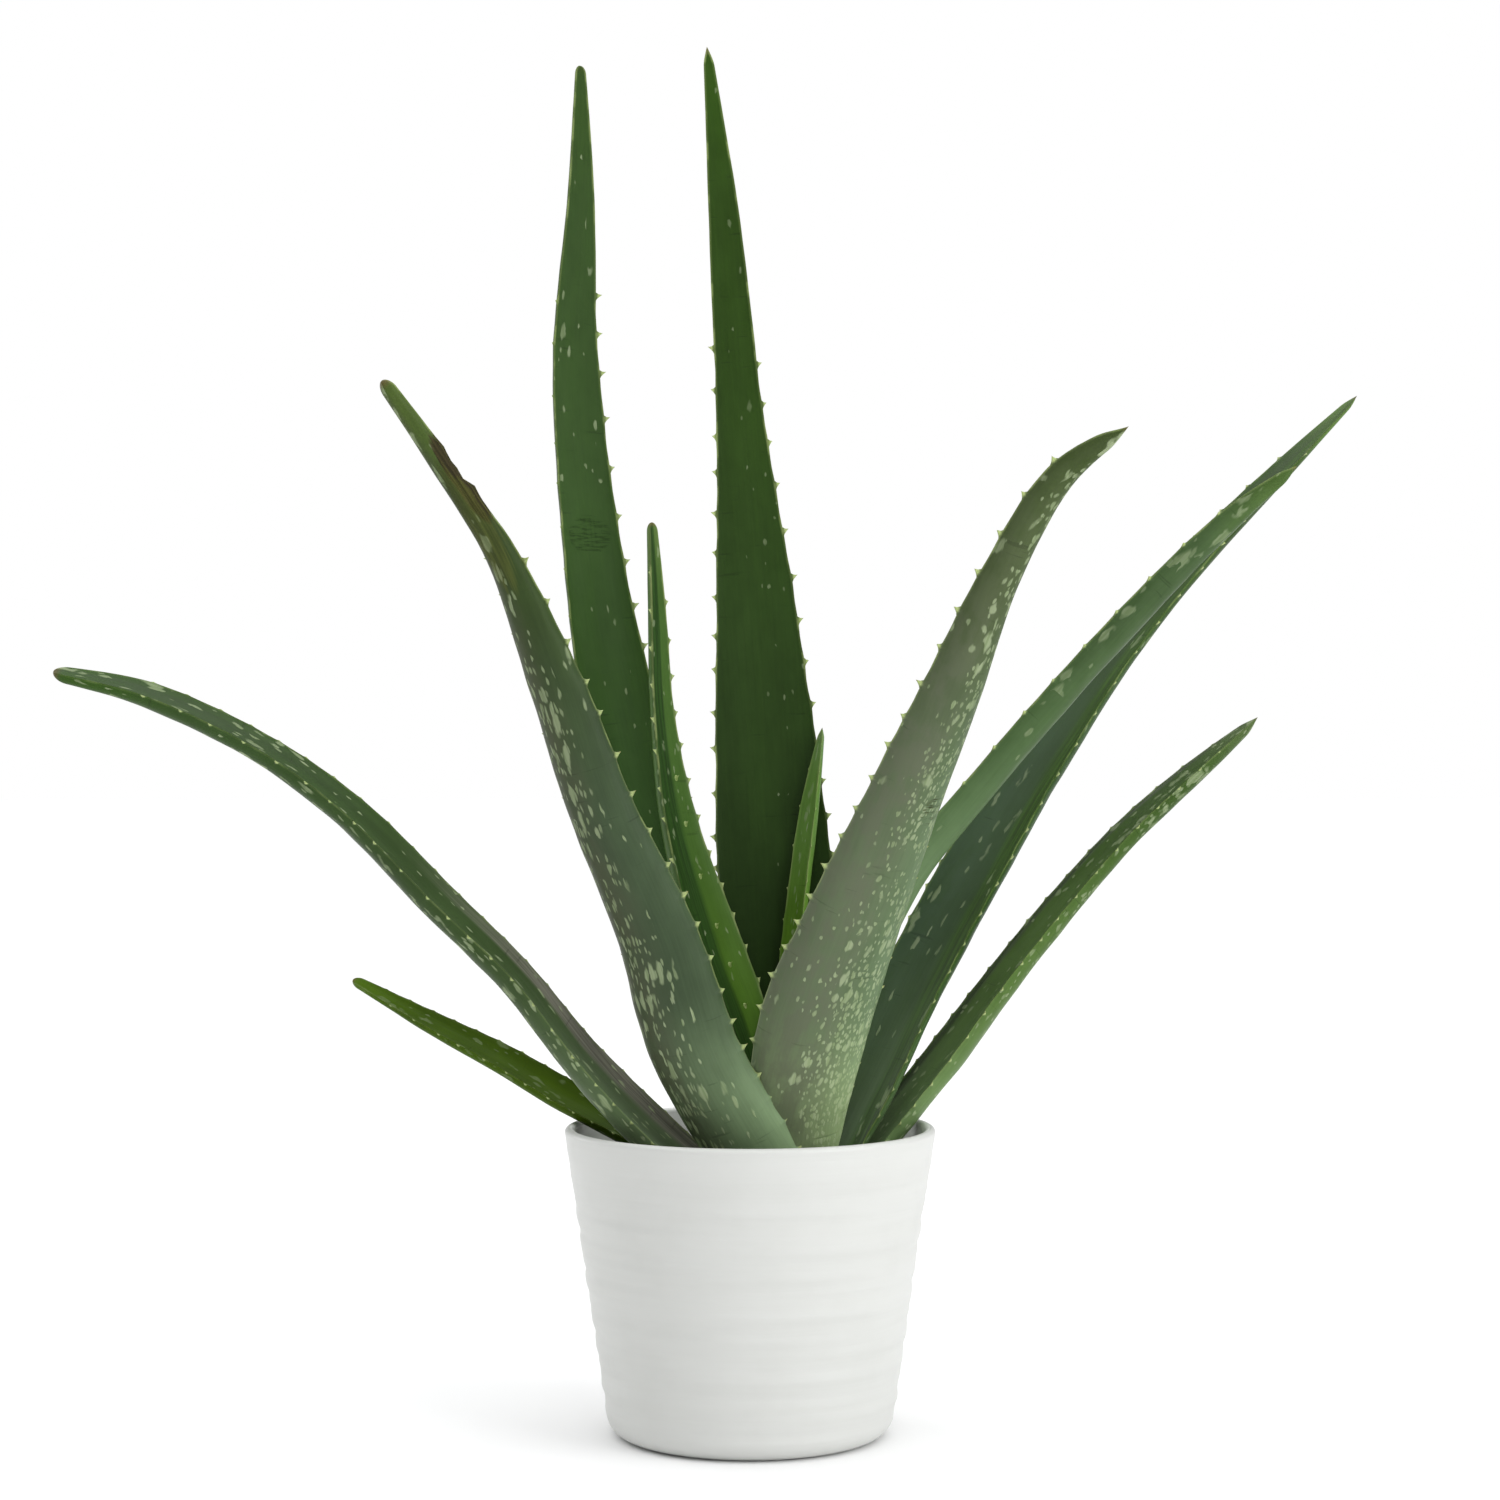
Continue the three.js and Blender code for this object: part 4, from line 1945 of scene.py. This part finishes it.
class Crumb(Enum):
    """What lies on the soil: the piece's name, count, sizes in millimetres and finish."""

    BARK = ("bark_chips", 260, (4.6, 2.6, 1.2), CrumbFinish((0.10, 0.055, 0.028)))
    PERLITE = ("perlite_grains", 90, (2.0, 1.8, 1.6), CrumbFinish((0.66, 0.64, 0.58)))
    GRIT = ("grit_grains", 160, (1.7, 1.4, 1.1), CrumbFinish((0.16, 0.13, 0.10)))



@dataclass
class Soil:
    """The potting mix in the pot: a lumpy top with bark, perlite and grit lying on it.

    Attributes:
        columns: how many points there are to a ring.
        lump: how far the top stands up or down, in millimetres.
        foot_share: the bed's radius at its bottom, as a share of the radius at its top.
        shoulder: how far below the top its side ends, in millimetres.
        margin: how far in from the edge the crumbs keep, in millimetres.
        mix: its finish.
    """

    columns: int = 150
    lump: float = 1.6
    foot_share: float = 0.72
    shoulder: float = 1.0
    margin: float = 3.0
    mix: PottingMix = PottingMix()

    # How many rings there are under the bed, up its side and over its top.
    UNDER: ClassVar[int] = 4
    SIDE: ClassVar[int] = 8
    TOP: ClassVar[int] = 63
    # The crossed waves of the top: length in millimetres and share of the lump.
    HEAPS: ClassVar[tuple[tuple[float, float], ...]] = ((34.0, 1.0), (13.0, 0.45), (5.2, 0.3), (2.6, 0.18))

    def build(self) -> list[bpy.types.Object]:
        """Makes the bed of soil and what lies on it, and dresses them.

        Returns:
            The soil's pieces.
        """
        low, high = (np.array(corner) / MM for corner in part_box("soil"))
        radius, top = (high[0] - low[0]) / 2, high[2]
        made = Sheet(self._bed(radius, top, low[2])).object("soil_bed", self.mix.material())
        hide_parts("soil")
        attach(made, BODY)
        return [made] + [self._scatter(kind, radius, top) for kind in Crumb]

    def _bed(self, radius: float, top: float, bottom: float) -> np.ndarray:
        """The bed's points: a profile turned about the axis, with the heaps added on its top.

        The side widens with a power of the height, so that it is steep where it meets the pot.

        Args:
            radius: the radius at the top.
            top: the top's height.
            bottom: the bottom's height.

        Returns:
            The points by ring and column, in metres.
        """
        foot = self.foot_share * radius
        side = np.linspace(0.0, 1.0, self.SIDE)
        reach = np.linspace(1.0, 0.004, self.TOP + 1)[1:]
        under_r = foot * np.linspace(0.02, 0.9, self.UNDER)
        side_r = foot + (radius - foot) * side**0.35
        side_z = bottom + (top - self.shoulder - bottom) * side
        r = np.concatenate([under_r, side_r, radius * reach])[:, None]
        z = np.concatenate([np.full(self.UNDER, bottom), side_z, np.full(self.TOP, top)])[:, None]
        on_top = np.concatenate([np.zeros(self.UNDER + self.SIDE), smooth(reach, 1.0, 0.9)])[:, None]
        points = turned(r, z, even_angles(self.columns))
        points[..., 2] += on_top * self._heap(points[..., 0], points[..., 1])
        return points * MM

    def _heap(self, x: np.ndarray, y: np.ndarray) -> np.ndarray:
        """How far the soil's top stands up or down at a place.

        It is a sum of crossed waves: a sine one way times a sine across it, each pair turned from the last.

        Args:
            x: the place's x in millimetres.
            y: its y.

        Returns:
            The height in millimetres.
        """
        total = np.zeros_like(x)
        for k, (wave, size) in enumerate(self.HEAPS):
            a = 0.7 + 1.9 * k
            u, v = x * math.cos(a) + y * math.sin(a), y * math.cos(a) - x * math.sin(a)
            crossed = np.sin(FULL_TURN * u / wave + k) * np.sin(FULL_TURN * v / (wave * 0.87) + 2.0 * k)
            total += size * crossed
        return total * self.lump

    def _scatter(self, kind: Crumb, radius: float, top: float) -> bpy.types.Object:
        """Lies many small lumps on the soil as one piece.

        Each lump is a ball of 6 by 4 points, stretched to its size, roughened, turned about and set down.

        Args:
            kind: what the lumps are.
            radius: the soil's radius.
            top: its height.

        Returns:
            The piece.
        """
        name, count, size, finish = kind.value
        random = np.random.default_rng(count)
        far = np.sqrt(random.uniform(0.0, 1.0, count)) * (radius - self.margin)
        way = random.uniform(0.0, FULL_TURN, count)
        x, y = far * np.cos(way), far * np.sin(way)
        z = top + self._heap(x[None], y[None])[0] + random.uniform(-0.2, 0.35, count) * size[2]
        across, up = np.meshgrid(even_angles(6), np.array([-1.1, -0.4, 0.4, 1.1]))
        ball = np.stack([np.cos(up) * np.cos(across), np.cos(up) * np.sin(across), np.sin(up)], axis=2)
        lumps = ball.reshape(-1, 3) * random.uniform(0.72, 1.2, (count, 24, 1)) * np.array(size) / 2
        lumps = lumps * random.uniform(0.5, 1.25, (count, 1, 1))
        lumps = np.einsum("nij,nkj->nki", self._turns(random, count), lumps)
        lumps = lumps + np.stack([x, y, z], axis=1)[:, None]
        made = clones(name, lumps.reshape(count, 4, 6, 3) * MM, finish.material(name))
        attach(made, BODY)
        return made

    @staticmethod
    def _turns(random: np.random.Generator, count: int) -> np.ndarray:
        """Random rotations that mostly keep a flat lump flat: a tilt about one level axis after a spin.

        Args:
            random: where the angles are drawn from.
            count: how many rotations there are.

        Returns:
            A matrix for each.
        """
        spin, tilt = random.uniform(0.0, FULL_TURN, count), random.normal(0.0, 0.35, count)
        zero, one = np.zeros(count), np.ones(count)
        spin_cos, spin_sin, tilt_cos, tilt_sin = np.cos(spin), np.sin(spin), np.cos(tilt), np.sin(tilt)
        flat = np.array([[spin_cos, -spin_sin, zero], [spin_sin, spin_cos, zero], [zero, zero, one]])
        lean = np.array([[one, zero, zero], [zero, tilt_cos, -tilt_sin], [zero, tilt_sin, tilt_cos]])
        return np.einsum("ijn,jkn->nik", lean, flat)


@dataclass(frozen=True)
class Bark:
    """The stem's skin: pale green-brown, fibrous up and down."""

    dark: Colour = (0.12, 0.11, 0.05)
    light: Colour = (0.30, 0.29, 0.14)

    def material(self) -> bpy.types.Material:
        """Builds the skin.

        Returns:
            The finished material.
        """
        shader = Shader("stem_skin")
        x, y, z = shader.split(shader.place())
        fibre = shader.noise(shader.vector(x * 900, y * 900, z * 90), 1.0, 3.0)
        colour = shader.mix(self.dark, self.light, fibre.ramp(0.35, 0.65))
        return shader.finish(colour, 0.75, fibre * 0.0003)


@dataclass
class Stem:
    """The short stem under the rosette, ringed with old leaf scars.

    Attributes:
        rings: the spacing of the scars, in millimetres.
        ring_depth: how far the stem swells and shrinks with them.
        dome_share: the radius of its round top, as a share of its foot's.
        columns: how many points there are to a ring.
        bark: its finish.
    """

    rings: float = 5.5
    ring_depth: float = 0.35
    dome_share: float = 0.6
    columns: int = 48
    bark: Bark = Bark()

    def build(self) -> bpy.types.Object:
        """Turns the stem about its own axis and dresses it.

        The profile is a flat base, a straight taper and a quarter round, less a sine up the stem that
        wavers round it.

        Returns:
            The stem's piece.
        """
        low, high = (np.array(corner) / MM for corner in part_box("stem"))
        middle, radius = (low + high) / 2, (high[0] - low[0]) / 2
        dome = self.dome_share * radius
        bottom, shoulder = low[2], high[2] - dome
        turn = even_angles(self.columns)
        side = np.linspace(bottom, shoulder, 60)
        cap = np.linspace(0.0, math.pi / 2 * 0.97, 12)
        taper = np.interp(side, [bottom, shoulder], [radius, dome])
        r = np.concatenate([[0.5, 0.9 * radius], taper, dome * np.cos(cap)])[:, None]
        z = np.concatenate([[bottom, bottom], side, shoulder + dome * np.sin(cap)])[:, None]
        ripple = self.ring_depth * (np.sin(FULL_TURN * z / self.rings + np.sin(3 * turn)) - 1.0)
        r = r + ripple * smooth(r, 1.0, 4.0)
        points = turned(r, z, turn) + np.array([middle[0], middle[1], 0.0])
        made = Sheet(points * MM).object("ringed_stem", self.bark.material())
        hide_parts("stem")
        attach(made, BODY)
        return made


# ---------------------------------------------------------------- studio


@dataclass(frozen=True)
class Paper:
    """The floor's matt white paper."""

    dark: Colour = (0.93, 0.93, 0.93)
    light: Colour = (0.95, 0.95, 0.95)

    def material(self) -> bpy.types.Material:
        """Builds the paper.

        Returns:
            The finished material.
        """
        shader = Shader("white_paper")
        paper = shader.mix(self.dark, self.light, shader.noise(shader.place(), 9.0, 3.0))
        return shader.finish(paper, 0.9, Specular_IOR_Level=0.1)


class Softbox(Enum):
    """The square lights: name, place, side in metres and watts."""

    KEY = ("key_light", (1.5, -0.95, 0.75), 1.2, 16.0)
    RIM = ("rim_light", (-1.3, 0.9, 0.55), 0.6, 4.0)
    FRONT = ("front_light", (0.35, -2.2, 0.3), 1.4, 4.4)

    def hang(self, target: Point) -> None:
        """Puts the light in its place.

        Args:
            target: the point it shines at.
        """
        name, place, side, power = self.value
        data = bpy.data.lights.new(name, "AREA")
        data.shape = "SQUARE"
        data.size = side
        data.energy = power
        light = placed(name, data)
        light.location = place
        aim = Vector(target) - Vector(place)
        light.rotation_euler = aim.to_track_quat("-Z", "Y").to_euler()


@dataclass
class Studio:
    """A white sweep of floor, soft lights, and a camera at the height of the leaves.

    Attributes:
        distance: how far in front of the plant the camera is, in metres.
        eye: the camera's height.
        lens: its focal length in millimetres, on a 36 mm sensor.
        target: what the softboxes shine at, the middle of the leaves.
        floor_reach: half the floor's side.
        daylight: the strength of the light from straight above.
        daylight_spread: how wide that light is, in degrees.
        sky_colour: the colour of the light that the sky gives.
        sky_strength: its strength.
    """

    distance: float = 1.089
    eye: float = 0.238
    lens: float = 75.0
    target: Point = (0.0, 0.0, 0.22)
    floor_reach: float = 14.0
    daylight: float = 2.7
    daylight_spread: float = 100.0
    sky_colour: Colour = (0.96, 0.98, 1.0)
    sky_strength: float = 0.25

    def build(self) -> None:
        """Makes the camera, the floor, the lights and the sky."""
        self._camera()
        self._floor()
        self._sky()
        for softbox in Softbox:
            softbox.hang(self.target)
        self._daylight()
        bpy.context.scene.view_settings.view_transform = "Standard"

    def _camera(self) -> None:
        """A level camera in front of the plant."""
        data = bpy.data.cameras.new("camera")
        data.lens = self.lens
        data.sensor_width = 36.0
        data.clip_start = 0.01
        camera = placed("camera", data)
        camera.location = (0.0, -self.distance, self.eye)
        camera.rotation_euler = (math.pi / 2, 0.0, 0.0)
        bpy.context.scene.camera = camera

    def _floor(self) -> None:
        """A wide white floor just under the pot."""
        mesh = bpy.data.meshes.new("floor")
        corner = self.floor_reach
        points = [(-corner, -corner, 0), (corner, -corner, 0), (corner, corner, 0), (-corner, corner, 0)]
        mesh.from_pydata(points, [], [(0, 1, 2, 3)])
        mesh.materials.append(Paper().material())
        placed("floor", mesh)

    def _sky(self) -> None:
        """White to the eye, and a softer light on the plant."""
        world = bpy.data.worlds.new("studio_sky")
        bpy.context.scene.world = world
        sky = Shader("studio_sky", world)
        soft = {"Color": (*self.sky_colour, 1.0), "Strength": self.sky_strength}
        lit = sky.value("ShaderNodeBackground", {}, soft)
        white = {"Color": (1.0, 1.0, 1.0, 1.0), "Strength": 1.0}
        shown = sky.value("ShaderNodeBackground", {}, white)
        seen = sky.value("ShaderNodeLightPath", {}, {}, "Is Camera Ray")
        blend = sky.value("ShaderNodeMixShader", {}, {0: seen, 1: lit, 2: shown})
        sky.node("ShaderNodeOutputWorld", {}, {"Surface": blend})

    def _daylight(self) -> None:
        """A broad, even light from straight above, which keeps the floor white as far as it goes."""
        data = bpy.data.lights.new("overhead_light", "SUN")
        data.energy = self.daylight
        data.angle = math.radians(self.daylight_spread)
        placed("overhead_light", data).location = (0.0, 0.0, 3.0)


def main() -> None:
    logging.basicConfig(level=logging.INFO, format="%(message)s")
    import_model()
    Studio().build()
    pieces = [Pot().build(), *Soil().build(), Stem().build()]
    pieces += [piece for leaf in LEAVES for piece in leaf.build()]
    for piece in pieces:
        log.info("%s: %d faces", piece.name, len(piece.data.polygons))
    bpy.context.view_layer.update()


if __name__ == "__main__":
    main()
